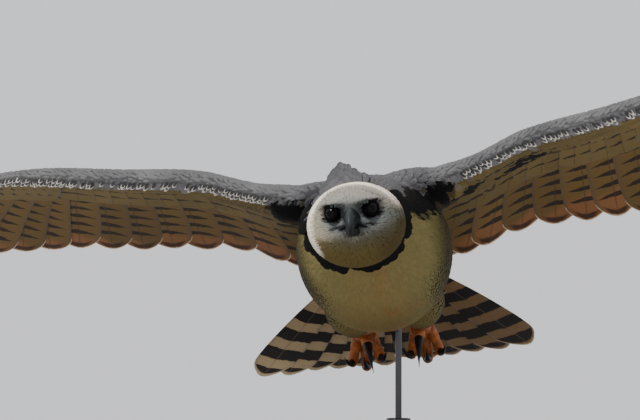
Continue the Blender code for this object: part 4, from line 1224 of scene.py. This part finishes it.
class Look:
    """A material being made."""

    def __init__(self, name, roughness, specular=0.3):
        self.material = bpy.data.materials.new(name)
        self.material.use_nodes = True
        self.tree = self.material.node_tree
        self.shader = self.tree.nodes["Principled BSDF"]
        self.shader.inputs["Roughness"].default_value = roughness
        self.shader.inputs["Specular IOR Level"].default_value = specular

    def put(self, socket, value):
        if isinstance(value, Value):
            self.tree.links.new(value.socket, socket)
        elif hasattr(value, "__len__") and socket.type == "RGBA":
            socket.default_value = (*[float(part) for part in value[:3]], 1.0)
        else:
            socket.default_value = value

    def node(self, kind, settings, inputs, output=0):
        made = self.tree.nodes.new(kind)
        for key, value in settings.items():
            setattr(made, key, value)
        for key, value in inputs.items():
            self.put(made.inputs[key], value)
        return Value(self, made.outputs[output])

    def maths(self, operation, *values):
        return self.node("ShaderNodeMath", {"operation": operation}, dict(enumerate(values)))

    def attribute(self, name, output="Color"):
        return self.node("ShaderNodeAttribute", {"attribute_name": name}, {}, output)

    def parts(self, name):
        """The three numbers of a vector attribute."""
        vector = self.attribute(name, "Vector")
        split = self.tree.nodes.new("ShaderNodeSeparateXYZ")
        self.put(split.inputs[0], vector)
        return [Value(self, socket) for socket in split.outputs]

    def joined(self, x, y, z):
        return self.node("ShaderNodeCombineXYZ", {}, {0: x, 1: y, 2: z})

    def place(self):
        return self.node("ShaderNodeTexCoord", {}, {}, "Object")

    def ease(self, value, low, high):
        ends = {"Value": value, "From Min": low, "From Max": high}
        return self.node("ShaderNodeMapRange", {"interpolation_type": "SMOOTHSTEP"}, ends)

    def noise(self, vector, scale, detail=2.0):
        return self.node("ShaderNodeTexNoise", {}, {"Vector": vector, "Scale": scale, "Detail": detail})

    def mix(self, share, low, high):
        kind = {"data_type": "RGBA"}
        return self.node("ShaderNodeMix", kind, {0: share, 6: low, 7: high}, 2)

    def shaded(self, colour, factor):
        """A colour made lighter or darker by a factor."""
        return self.node("ShaderNodeVectorMath", {"operation": "SCALE"}, {0: colour, "Scale": factor})

    def bump(self, height, distance, strength=1.0):
        inputs = {"Height": height, "Distance": distance, "Strength": strength}
        self.put(self.shader.inputs["Normal"], self.node("ShaderNodeBump", {}, inputs))

    def done(self, colour):
        self.put(self.shader.inputs["Base Color"], colour)
        return self.material


STROKE, PALE_EDGE, CRESCENT = (0.020, 0.017, 0.012), (0.66, 0.60, 0.52), (0.84, 0.78, 0.69)
# Wing feathers below: reddish end painted as light shining through, bars, dark line before the tip, pale rim
# and black stain
TIP_BACKLIGHT, LOW_BAR, TIP_LINE = tint(138, 92, 56), (0.018, 0.013, 0.009), tint(42, 25, 18)
TIP_RIM, STAIN = tint(216, 188, 154), (0.008, 0.007, 0.007)
# Wing feathers above: bars and pale rim, and the shaft on both faces
TOP_BAR, TOP_RIM, WING_SHAFT = (0.020, 0.020, 0.022), tint(150, 142, 130), tint(70, 52, 34)
# Tail feathers: brown flecks, bars, whitish tip and shaft
TAIL_FLECK, TAIL_BAR = tint(104, 78, 50), tint(30, 24, 19)
TAIL_RIM, TAIL_SHAFT = tint(190, 170, 140), tint(110, 90, 66)


def plumage_look():
    """Small body feathers: their own colour, a darker root, dark streaks, fine bars and pale tips."""
    look = Look("plumage", 0.80, 0.08)
    s, u, chance = look.parts("lie")
    streak, edge, bars = look.parts("mark")
    colour = look.shaded(look.attribute("hue"), 0.93 + chance * 0.14)
    colour = look.mix(look.ease(s, 0.10, 0.62), look.shaded(colour, 0.84), colour)
    barbs = look.maths("SINE", (s * 1.6 + abs(u)) * 46.0 + chance * 6.0)
    colour = look.shaded(colour, 0.97 + barbs * 0.045)
    shaft = 1.0 - look.ease(abs(u), 0.03, 0.10)
    colour = look.shaded(colour, 1.0 - shaft * 0.10)
    wide = look.ease(streak, 0.82, 0.98)
    centre = 1.0 - look.ease(abs(u), wide * 0.42 + 0.18, wide * 0.60 + 0.40)
    dark = streak * centre * look.ease(s, 0.60, 0.68)
    dark = dark * (1.0 - look.ease(s, 0.86 - wide * 0.06, 0.94 - wide * 0.06))
    stripe = (s * 2.5 + chance * 0.3).fraction()
    band = bars * (1.0 - look.ease(abs(stripe - 0.5), 0.12, 0.20)) * look.ease(s, 0.3, 0.4)
    colour = look.mix(dark.largest(band * 0.85), colour, STROKE)
    rim = look.ease(s + u * u * 0.16 + edge * 0.20, 0.84, 0.95) * look.ease(edge, 0.02, 0.60)
    colour = look.mix(rim, colour, PALE_EDGE)
    crescent = look.ease(s * 0.7 + u * u * 0.5, 0.60, 0.70) * look.ease(edge, 0.40, 0.80)
    colour = look.mix(crescent, colour, CRESCENT)
    look.bump(barbs, 0.0001, 0.3)
    return look.done(colour)


def skin_look():
    look = Look("skin", 0.85, 0.1)
    speck = look.noise(look.place(), 260.0)
    # Painted shade: the skin between the feathers darker than their colours
    return look.done(look.shaded(look.attribute("hue"), 0.34 + speck * 0.3))


def wing_vane_look():
    """Flight feathers: slate above, barred olive below as painted shade, with reddish tips painted as light
    shining through.
    """
    look = Look("wing vanes", 0.70, 0.15)
    tip, u, chance = look.parts("lie")
    reach, under, kind = look.parts("mark")
    flight = kind.largest(0.0)
    hue = look.attribute("hue")
    own = look.joined(u * 0.030, reach, chance * 9.0)
    wobble = look.noise(own, 70.0, 3.0) - 0.5
    at = reach + wobble * 0.012 + abs(u) * 0.004 + (1.0 - flight) * 0.026
    phase = ((at - 0.034 - u * 0.010) / 0.035 + 0.5).fraction()
    taper = look.ease(u + wobble * 0.4, -0.95, 0.0) * (0.13 + flight * 0.08)
    bar = 1.0 - look.ease(abs(phase - 0.5) - taper, -0.03, 0.02)
    bar = bar * look.ease(u + wobble * 0.5, -0.88, -0.70) * look.ease(at, 0.046, 0.052)
    barbs = look.maths("SINE", (reach * 900.0 + abs(u) * 34.0))
    low = look.shaded(hue, 0.90 + chance * 0.18 + barbs * 0.02)
    near = tip + wobble * 0.008
    # Painted light shining through the ends of the flight feathers, reddish
    fade = near + (0.2 - u) * 0.040 - chance * 0.060
    rust = (1.0 - look.ease(fade, 0.016, 0.046)) * look.ease(u, -0.95, -0.70)
    low = look.mix(rust * flight * 0.9, low, TIP_BACKLIGHT)
    low = look.mix(bar * 0.94, low, LOW_BAR)
    last = look.ease(near, 0.005, 0.009) * (1.0 - look.ease(near, 0.018, 0.026))
    last = last * (1.0 - look.ease(abs(u), 0.50, 0.85))
    low = look.mix(last * flight * 0.85, low, TIP_LINE)
    low = look.mix((1.0 - look.ease(near, 0.0025, 0.0050)) * flight, low, TIP_RIM)
    stain = look.ease(0.0 - kind + wobble * 0.5, 0.38, 0.50)
    low = look.mix(stain, low, STAIN)
    top = look.shaded(hue, 0.90 + chance * 0.20 + barbs * 0.02)
    top = look.mix(bar * 0.45, top, TOP_BAR)
    top = look.mix((1.0 - look.ease(tip, 0.001, 0.004)) * 0.6, top, TOP_RIM)
    colour = look.mix(look.ease(under, 0.42, 0.50), top, low)
    shaft = 1.0 - look.ease(abs(u), 0.020, 0.055)
    colour = look.mix(shaft * 0.45, colour, WING_SHAFT)
    look.bump(barbs, 0.0001, 0.4)
    return look.done(colour)


def tail_vane_look():
    """Tail feathers: broad black bars on buff, with a whitish tip."""
    look = Look("tail vanes", 0.70, 0.15)
    tip, u, chance = look.parts("lie")
    reach, under, _ = look.parts("mark")
    own = look.joined(u * 0.030, reach, chance * 9.0)
    wobble = look.noise(own, 80.0, 3.0) - 0.5
    at = reach + wobble * 0.012 - abs(u) * 0.006 + u * 0.004 + chance * 0.032
    phase = ((at - 0.032) / 0.070 + 0.5).fraction()
    band = (1.0 - look.ease(abs(phase - 0.5), 0.25, 0.29)) * look.ease(tip, 0.009, 0.014)
    band = band * (1.0 - look.ease(reach, 0.45, 0.50))
    barbs = look.maths("SINE", (reach * 900.0 + abs(u) * 34.0))
    pale = look.shaded(look.attribute("hue"), 0.90 + chance * 0.18 + barbs * 0.025)
    pale = look.mix(look.ease(wobble, 0.05, 0.25) * 0.35, pale, TAIL_FLECK)
    colour = look.mix(band, pale, TAIL_BAR)
    fringe = (1.0 - look.ease(tip + wobble * 0.006, 0.002, 0.008)) * 0.8
    colour = look.mix(fringe, colour, TAIL_RIM)
    shaft = 1.0 - look.ease(abs(u), 0.020, 0.055)
    colour = look.mix(shaft * 0.4, colour, TAIL_SHAFT)
    look.bump(barbs, 0.0001, 0.4)
    return look.done(colour)


def dark_vane_look():
    look = Look("dark vanes", 0.75, 0.10)
    v, u, chance = look.parts("lie")
    barbs = look.maths("SINE", (v * 60.0 + abs(u) * 30.0))
    colour = look.shaded(look.attribute("hue"), 0.85 + chance * 0.30 + barbs * 0.04)
    colour = look.mix(look.ease(v, 0.72, 0.98) * 0.6, colour, look.shaded(colour, 0.5))
    look.bump(barbs, 0.0001, 0.4)
    return look.done(colour)


def painted_look(name, roughness, specular, scale, depth, coat=0.0):
    """A bare part, such as bill, claw or toe, in the colours laid on its points."""
    look = Look(name, roughness, specular)
    fine = look.noise(look.place(), scale, 4.0)
    look.shader.inputs["Coat Weight"].default_value = coat
    look.shader.inputs["Coat Roughness"].default_value = 0.06
    look.bump(fine, depth, 0.6)
    return look.done(look.shaded(look.attribute("hue"), 0.75 + fine * 0.5))


def wood_look():
    look = Look("stand wood", 0.42, 0.4)
    place = look.node("ShaderNodeMapping", {}, {"Vector": look.place(), "Scale": (6.0, 90.0, 6.0)})
    lines = look.noise(place, 1.6, 5.0)
    colour = look.mix(look.ease(lines, 0.35, 0.65), tint(72, 50, 36), tint(104, 74, 50))
    look.shader.inputs["Coat Weight"].default_value = 0.3
    look.bump(lines, 0.0002, 0.3)
    return look.done(colour)


def steel_look():
    look = Look("stand steel", 0.38, 0.5)
    look.shader.inputs["Metallic"].default_value = 0.9
    fine = look.noise(look.place(), 900.0)
    return look.done(look.mix(fine, tint(74, 74, 76), tint(88, 88, 90)))


def floor_look():
    look = Look("floor", 1.0, 0.0)
    return look.done(look.mix(look.noise(look.place(), 0.8), (0.41, 0.41, 0.42), (0.42, 0.42, 0.43)))


def painted(made, matrix, paint):
    """Lays the colours that paint(points in the piece's own frame) gives on the points of a mesh."""
    points = moved(read_rows(made.data.vertices, "co"), matrix.inverted())
    add_hue(made.data, np.broadcast_to(paint(points), points.shape))
    made.data.shade_smooth()
    return made


def slopes(stations, share):
    """How each column of a table changes along it."""
    later = along(stations, np.minimum(1, share + 0.02))
    earlier = along(stations, np.maximum(0, share - 0.02))
    return [b - a for a, b in zip(earlier, later)]


def bill_route(sections, narrowing, dents=()):
    """Surface of one half of the bill from its sections, with the dents of the nostrils."""
    def place(share, turn):
        y, z, half, high = along(sections, share)
        ahead = unit(xyz(0.0, *slopes(sections, share)[:2]))
        up = xyz(0.0, ahead[:, 2], -ahead[:, 1])
        narrow = 1 - narrowing * np.maximum(0, np.sin(turn)) ** 2
        points = xyz(half * np.cos(turn) * narrow, y, z) + up * (high * np.sin(turn))[:, None]
        for dent in dents:
            near = hill(np.linalg.norm((points - dent) * (1.0, 1.25, 0.75), axis=1), 0.0021)
            points[:, 0] -= np.sign(points[:, 0]) * 0.0030 * near
        return points

    return place


UPPER_BILL = (
    (0.00, -0.036, 0.008, 0.0000, 0.0000),
    (0.10, -0.042, 0.008, 0.0112, 0.0150),
    (0.30, -0.060, 0.009, 0.0116, 0.0160),
    (0.50, -0.074, 0.007, 0.0102, 0.0145),
    (0.68, -0.086, 0.001, 0.0078, 0.0110),
    (0.84, -0.093, -0.009, 0.0050, 0.0068),
    (0.94, -0.0925, -0.0165, 0.0026, 0.0034),
    (1.00, -0.0905, -0.0205, 0.0000, 0.0000),
)
LOWER_BILL = (
    (0.00, -0.034, -0.0110, 0.0000, 0.0000),
    (0.15, -0.044, -0.0110, 0.0105, 0.0066),
    (0.50, -0.062, -0.0105, 0.0096, 0.0068),
    (0.80, -0.075, -0.0100, 0.0068, 0.0046),
    (1.00, -0.0820, -0.0090, 0.0000, 0.0000),
)
NOSTRILS = ((-0.0112, -0.0625, 0.0125), (0.0112, -0.0625, 0.0125))


def paint_bill(points):
    x, y, z = points.T
    cere = ease(y, -0.078, -0.068) * ease(z, -0.006, 0.002)
    # Painted highlight: a lighter band along the ridge of the bill
    ridge = hill(x, 0.0050) * ease(z, -0.012, 0.006)
    colour = blended(tint(15, 17, 18), tint(18, 20, 21), cere)
    colour = blended(colour, tint(43, 49, 50), ridge * 0.8)
    # Painted shade of the nostril openings in their dents
    for dent in NOSTRILS:
        near = hill(np.linalg.norm((points - dent) * (0.6, 1.25, 0.75), axis=1), 0.0022)
        colour = colour * (1 - 0.92 * near)[:, None]
    return colour


def make_bill(materials):
    head = FLIGHT @ HEAD
    halves = (("bill_upper", UPPER_BILL, 0.35, NOSTRILS), ("bill_lower", LOWER_BILL, 0.0, ()))
    for name, sections, narrowing, dents in halves:
        made = ball(name + "_horn", bill_route(sections, narrowing, dents), 72, 72, head)
        painted(made, head, paint_bill)
        dressed(made, materials["horn"], "horn", name)


def make_eyes(materials):
    """Dark eyes under heavy lids, one eye a piece."""
    for side, word in ((1, "left"), (-1, "right")):
        turn = math.radians(EYE_TURN) * side
        facing = Vector((math.sin(turn), -math.cos(turn), 0.05)).normalized()
        spot = Vector((side * EYE_AT[0], EYE_AT[1], EYE_AT[2]))
        frame_of = FLIGHT @ HEAD @ Matrix.Translation(spot)
        frame_of = frame_of @ facing.to_track_quat("Z", "Y").to_matrix().to_4x4()

        def eye(share, turn):
            bulge = EYE_RADIUS * (1 + 0.035 * hill(share, 0.16))
            return sphere(math.pi * share, turn) * bulge[:, None]

        def paint_eye(points):
            off = np.hypot(points[:, 0], points[:, 1])
            iris = ease(off, 0.0042, 0.0047) * (1 - ease(off, 0.0066, 0.0074))
            return blended(tint(4, 4, 4), tint(15, 12, 10), iris)

        made = painted(ball(f"eye_{word}_ball", eye, 64, 48, frame_of), frame_of, paint_eye)
        dressed(made, materials["eye"], "eye", f"eye_{word}")

        def lid(u, w):
            turn = math.pi * (u + 1)
            inward = -side * np.cos(turn)
            high = np.where(np.sin(turn) > 0, 35 - 9 * inward, 41)
            opening = 1 / np.sqrt((np.cos(turn) / 50) ** 2 + (np.sin(turn) / high) ** 2)
            out = 1 - np.abs(2 * w - 1)
            polar = np.radians(opening + (86 - opening) * out)
            swell = 0.0014 * np.sqrt(np.clip(out / 0.22, 0, 1))
            radius = EYE_RADIUS * 1.02 + np.where(w < 0.5, 0.0002 + swell, 0.0)
            return sphere(polar, turn) * radius[:, None]

        bm = bmesh.new()
        bmesh.ops.create_grid(bm, x_segments=72, y_segments=24, size=1)
        start = np.array([v.co for v in bm.verts])
        for v, place in zip(bm.verts, lid(start[:, 0], (start[:, 1] + 1) / 2)):
            v.co = place
        made = object_of(bm, f"eyelid_{word}", frame_of)
        painted(made, frame_of, lambda points: tint(7, 6, 6))
        dressed(made, materials["lid"], "slate_plumage")


def make_gape(ground, materials):
    """The dark corners of the mouth, laid on the face either side of the bill."""
    bm = bmesh.new()
    for side in (-1, 1):
        line = [(0.008, -0.0045), (0.014, -0.0015), (0.020, -0.0005), (0.026, -0.0020), (0.031, -0.0050)]
        points = moved(np.array([(side * x, -0.070, z) for x, z in line]), HEAD)
        found, out = ground.nearest(points)
        shell(bm, tube_place(found + out * 0.0014, (0.0028, 0.0027, 0.0024, 0.0019, 0.0009)), 20, 40)
    made = object_of(bm, "mouth_corners", FLIGHT)
    painted(made, FLIGHT, lambda points: tint(20, 18, 18))
    dressed(made, materials["lid"], "horn")


def tube_place(points, radii, rings=0, bulge=0.0):
    """Surface of a round-ended rod through the points, with ring folds along it."""
    points = [np.array(p, float) for p in points]
    stations = [(n / (len(points) - 1), *p) for n, p in enumerate(points)]
    thickness = [(n / (len(radii) - 1), r) for n, r in enumerate(radii)]

    def place(share, turn):
        here = np.stack(along(stations, share), -1)
        ahead = unit(np.stack(slopes(stations, share), -1))
        right = unit(np.array((1, 0, 0)) - ahead * ahead[:, :1])
        up = np.cross(right, ahead)
        radius = along(thickness, share)[0]
        end = np.clip(np.minimum(share, 1 - share) / 0.06, 0, 1)
        radius = radius * np.sqrt(1 - (1 - end) ** 2)
        if rings:
            top = 0.4 + 0.6 * np.maximum(0, np.sin(turn))
            radius = radius * (1 + bulge * top * (np.abs(np.sin(math.pi * rings * share)) ** 0.6 - 0.6))
        return here + around(right, up, turn) * radius[:, None]

    return place


TOES = (
    ("inner", 0.058, 5.0, -150.0, -15.0, 0.0088, 0.050, -70.0),
    ("middle", 0.074, 15.0, -165.0, 1.0, 0.0092, 0.046, -70.0),
    ("outer", 0.060, 5.0, -150.0, 15.0, 0.0080, 0.040, -70.0),
    ("hind", 0.040, -160.0, 35.0, -5.0, 0.0098, 0.058, 50.0),
)


def toe_route(joint, length, start, curl, splay, side):
    points, spot, steps = [joint.copy()], joint.copy(), 5
    for n in range(steps):
        angle = math.radians(start + curl * (n + 0.5) / steps)
        step = length / steps
        apart, ahead = math.sin(math.radians(splay)) * step, math.cos(math.radians(splay)) * step
        spot = spot + Vector((side * apart, ahead * math.cos(angle), ahead * math.sin(angle)))
        points.append(spot)
    return points, math.radians(start + curl)


def make_feet(materials):
    """Clenched feet with scaly toes, and their long black claws."""
    for side, word in ((1, "left"), (-1, "right")):
        ankle, joint = Vector((side * 0.050, 0.172, -0.062)), Vector((side * 0.047, 0.268, -0.052))
        toes, claws = bmesh.new(), bmesh.new()
        middle = ankle.lerp(joint, 0.5) + Vector((0, 0, 0.002))
        shank = (ankle, middle, joint + Vector((0, 0.006, 0)))
        shell(toes, tube_place(shank, (0.0125, 0.012, 0.015), 9, 0.05), 40, 60)
        for _, length, start, curl, splay, radius, claw_length, claw_curl in TOES:
            origin = joint + Vector((side * 0.036 * math.sin(math.radians(splay)), 0.0, -0.003))
            points, heading = toe_route(origin, length, start, curl, splay, side)
            radii = [radius * k for k in (1.1, 1.0, 1.02, 0.92, 0.98, 0.80)]
            shell(toes, tube_place(points, radii, round(length / 0.0052), 0.16), 32, 90)
            base = points[-1] - (points[-1] - points[-2]).normalized() * radius * 0.9
            route, _ = toe_route(base, claw_length, math.degrees(heading), claw_curl, splay, side)
            radii = [radius * k for k in (0.74, 0.70, 0.52, 0.34, 0.14)] + [0.0003]
            shell(claws, tube_place(route, radii), 28, 48)
        made = painted(object_of(toes, f"toes_{word}", FLIGHT), FLIGHT, paint_toes)
        dressed(made, materials["toe"], "toe_skin", f"foot_{word}")
        made = painted(object_of(claws, f"claws_{word}", FLIGHT), FLIGHT, lambda points: tint(30, 27, 26))
        dressed(made, materials["horn"], "horn", *[f"claw_{word}_{toe[0]}" for toe in TOES])


def paint_toes(points):
    patch = 0.5 + 0.5 * grain(points, 0.004, 3.0)
    colour = blended(tint(184, 104, 46), tint(126, 70, 33), np.clip(patch, 0, 1))
    return blended(colour, tint(160, 106, 60), ease(grain(points, 0.009, 8.0), 0.5, 0.9) * 0.5)


def disc_of(name, radius, low, high, rounded=0.0, hole=0.0):
    """A turned disc or ring with rounded rims."""
    bm = bmesh.new()
    ends = [(radius, high), (radius, low)]
    if rounded:
        turns = [math.radians(a) for a in range(90, -1, -15)]
        inner, upper = radius - rounded, high - rounded
        ends = [(inner + rounded * math.cos(a), upper + rounded * math.sin(a)) for a in turns]
        ends += [(radius, low + rounded / 3), (radius - rounded / 3, low)]
    profile = [bm.verts.new((r, 0, z)) for r, z in ((hole, high), *ends, (hole, low))]
    edges = [bm.edges.new(pair) for pair in zip(profile, profile[1:])]
    if hole:
        edges.append(bm.edges.new((profile[-1], profile[0])))
    full = {"angle": 2 * math.pi, "steps": 144, "use_merge": True}
    bmesh.ops.spin(bm, geom=profile + edges, cent=(0, 0, 0), axis=(0, 0, 1), **full)
    made = object_of(bm, name)
    made.data.shade_smooth()
    made.data.set_sharp_from_angle(angle=math.radians(40))
    return made


def make_stand(materials):
    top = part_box("stand_rod")[1][2]
    base = disc_of("base_disc", BASE_RADIUS, 0.0, BASE_THICK, 0.004)
    dressed(base, materials["wood"], "stand_wood", "stand_base")
    low, high = BASE_THICK + GAP, BASE_THICK + COLLAR_HEIGHT
    collar = disc_of("collar_ring", COLLAR_RADIUS, low, high, 0.002, ROD_RADIUS + GAP)
    dressed(collar, materials["steel"], "stand_steel", "stand_collar")
    rod = disc_of("support_rod", ROD_RADIUS, low, top)
    dressed(rod, materials["steel"], "stand_steel", "stand_rod")


SKY_POWER = 1.0
KEY_POWER, KEY_WIDTH, KEY_TURN = 5.0, 14.0, (36.0, 0.0, -42.0)
# The photo's camera: place, focal length and film width in millimetres
CAMERA_AT, CAMERA_LENS, CAMERA_FILM = (-0.121, -7.055, 0.359), 257.4, 36.0


def make_stage():
    """A wide pale floor that meets an even pale background, a soft key light and the photo's camera."""
    bm = bmesh.new()
    bmesh.ops.create_circle(bm, cap_ends=True, segments=96, radius=300)
    mesh = bpy.data.meshes.new("floor")
    bm.to_mesh(mesh)
    bm.free()
    floor = bpy.data.objects.new("floor", mesh)
    floor.location.z = -0.0005
    bpy.context.scene.collection.objects.link(floor)
    mesh.materials.append(floor_look())
    world = bpy.data.worlds.new("studio")
    world.use_nodes = True
    back = world.node_tree.nodes["Background"]
    back.inputs["Color"].default_value = (0.92, 0.93, 0.96, 1)
    back.inputs["Strength"].default_value = SKY_POWER
    bpy.context.scene.world = world
    light = bpy.data.lights.new("key", "SUN")
    light.energy, light.angle = KEY_POWER, math.radians(KEY_WIDTH)
    lamp = bpy.data.objects.new("key", light)
    lamp.rotation_euler = [math.radians(a) for a in KEY_TURN]
    bpy.context.scene.collection.objects.link(lamp)
    data = bpy.data.cameras.new("camera")
    data.lens, data.sensor_width, data.clip_end = CAMERA_LENS, CAMERA_FILM, 1000.0
    camera = bpy.data.objects.new("camera", data)
    camera.location = CAMERA_AT
    camera.rotation_euler = (math.radians(90), 0, 0)
    bpy.context.scene.collection.objects.link(camera)
    bpy.context.scene.camera = camera


def main():
    materials = {
        "plumage": plumage_look(),
        "skin": skin_look(),
        "wing_vane": wing_vane_look(),
        "tail_vane": tail_vane_look(),
        "dark_vane": dark_vane_look(),
        "horn": painted_look("horn", 0.42, 0.16, 500.0, 0.0001),
        "lid": painted_look("lids", 0.85, 0.05, 900.0, 0.0001),
        "toe": painted_look("toe skin", 0.60, 0.4, 600.0, 0.0004),
        "eye": painted_look("eye", 0.12, 0.09, 50.0, 0.0),
        "wood": wood_look(),
        "steel": steel_look(),
    }
    skin = make_skin()
    ground = Ground(skin)
    make_coats(ground, materials)
    make_crescents(ground, materials)
    for side in (-1, 1):
        make_wing(side, materials)
    make_tail(materials)
    make_crest(materials)
    make_brows(ground, materials)
    make_ruff(materials)
    finish_skin(skin, ground, materials)
    make_bill(materials)
    make_gape(ground, materials)
    make_eyes(materials)
    make_feet(materials)
    make_stand(materials)
    make_stage()


main()
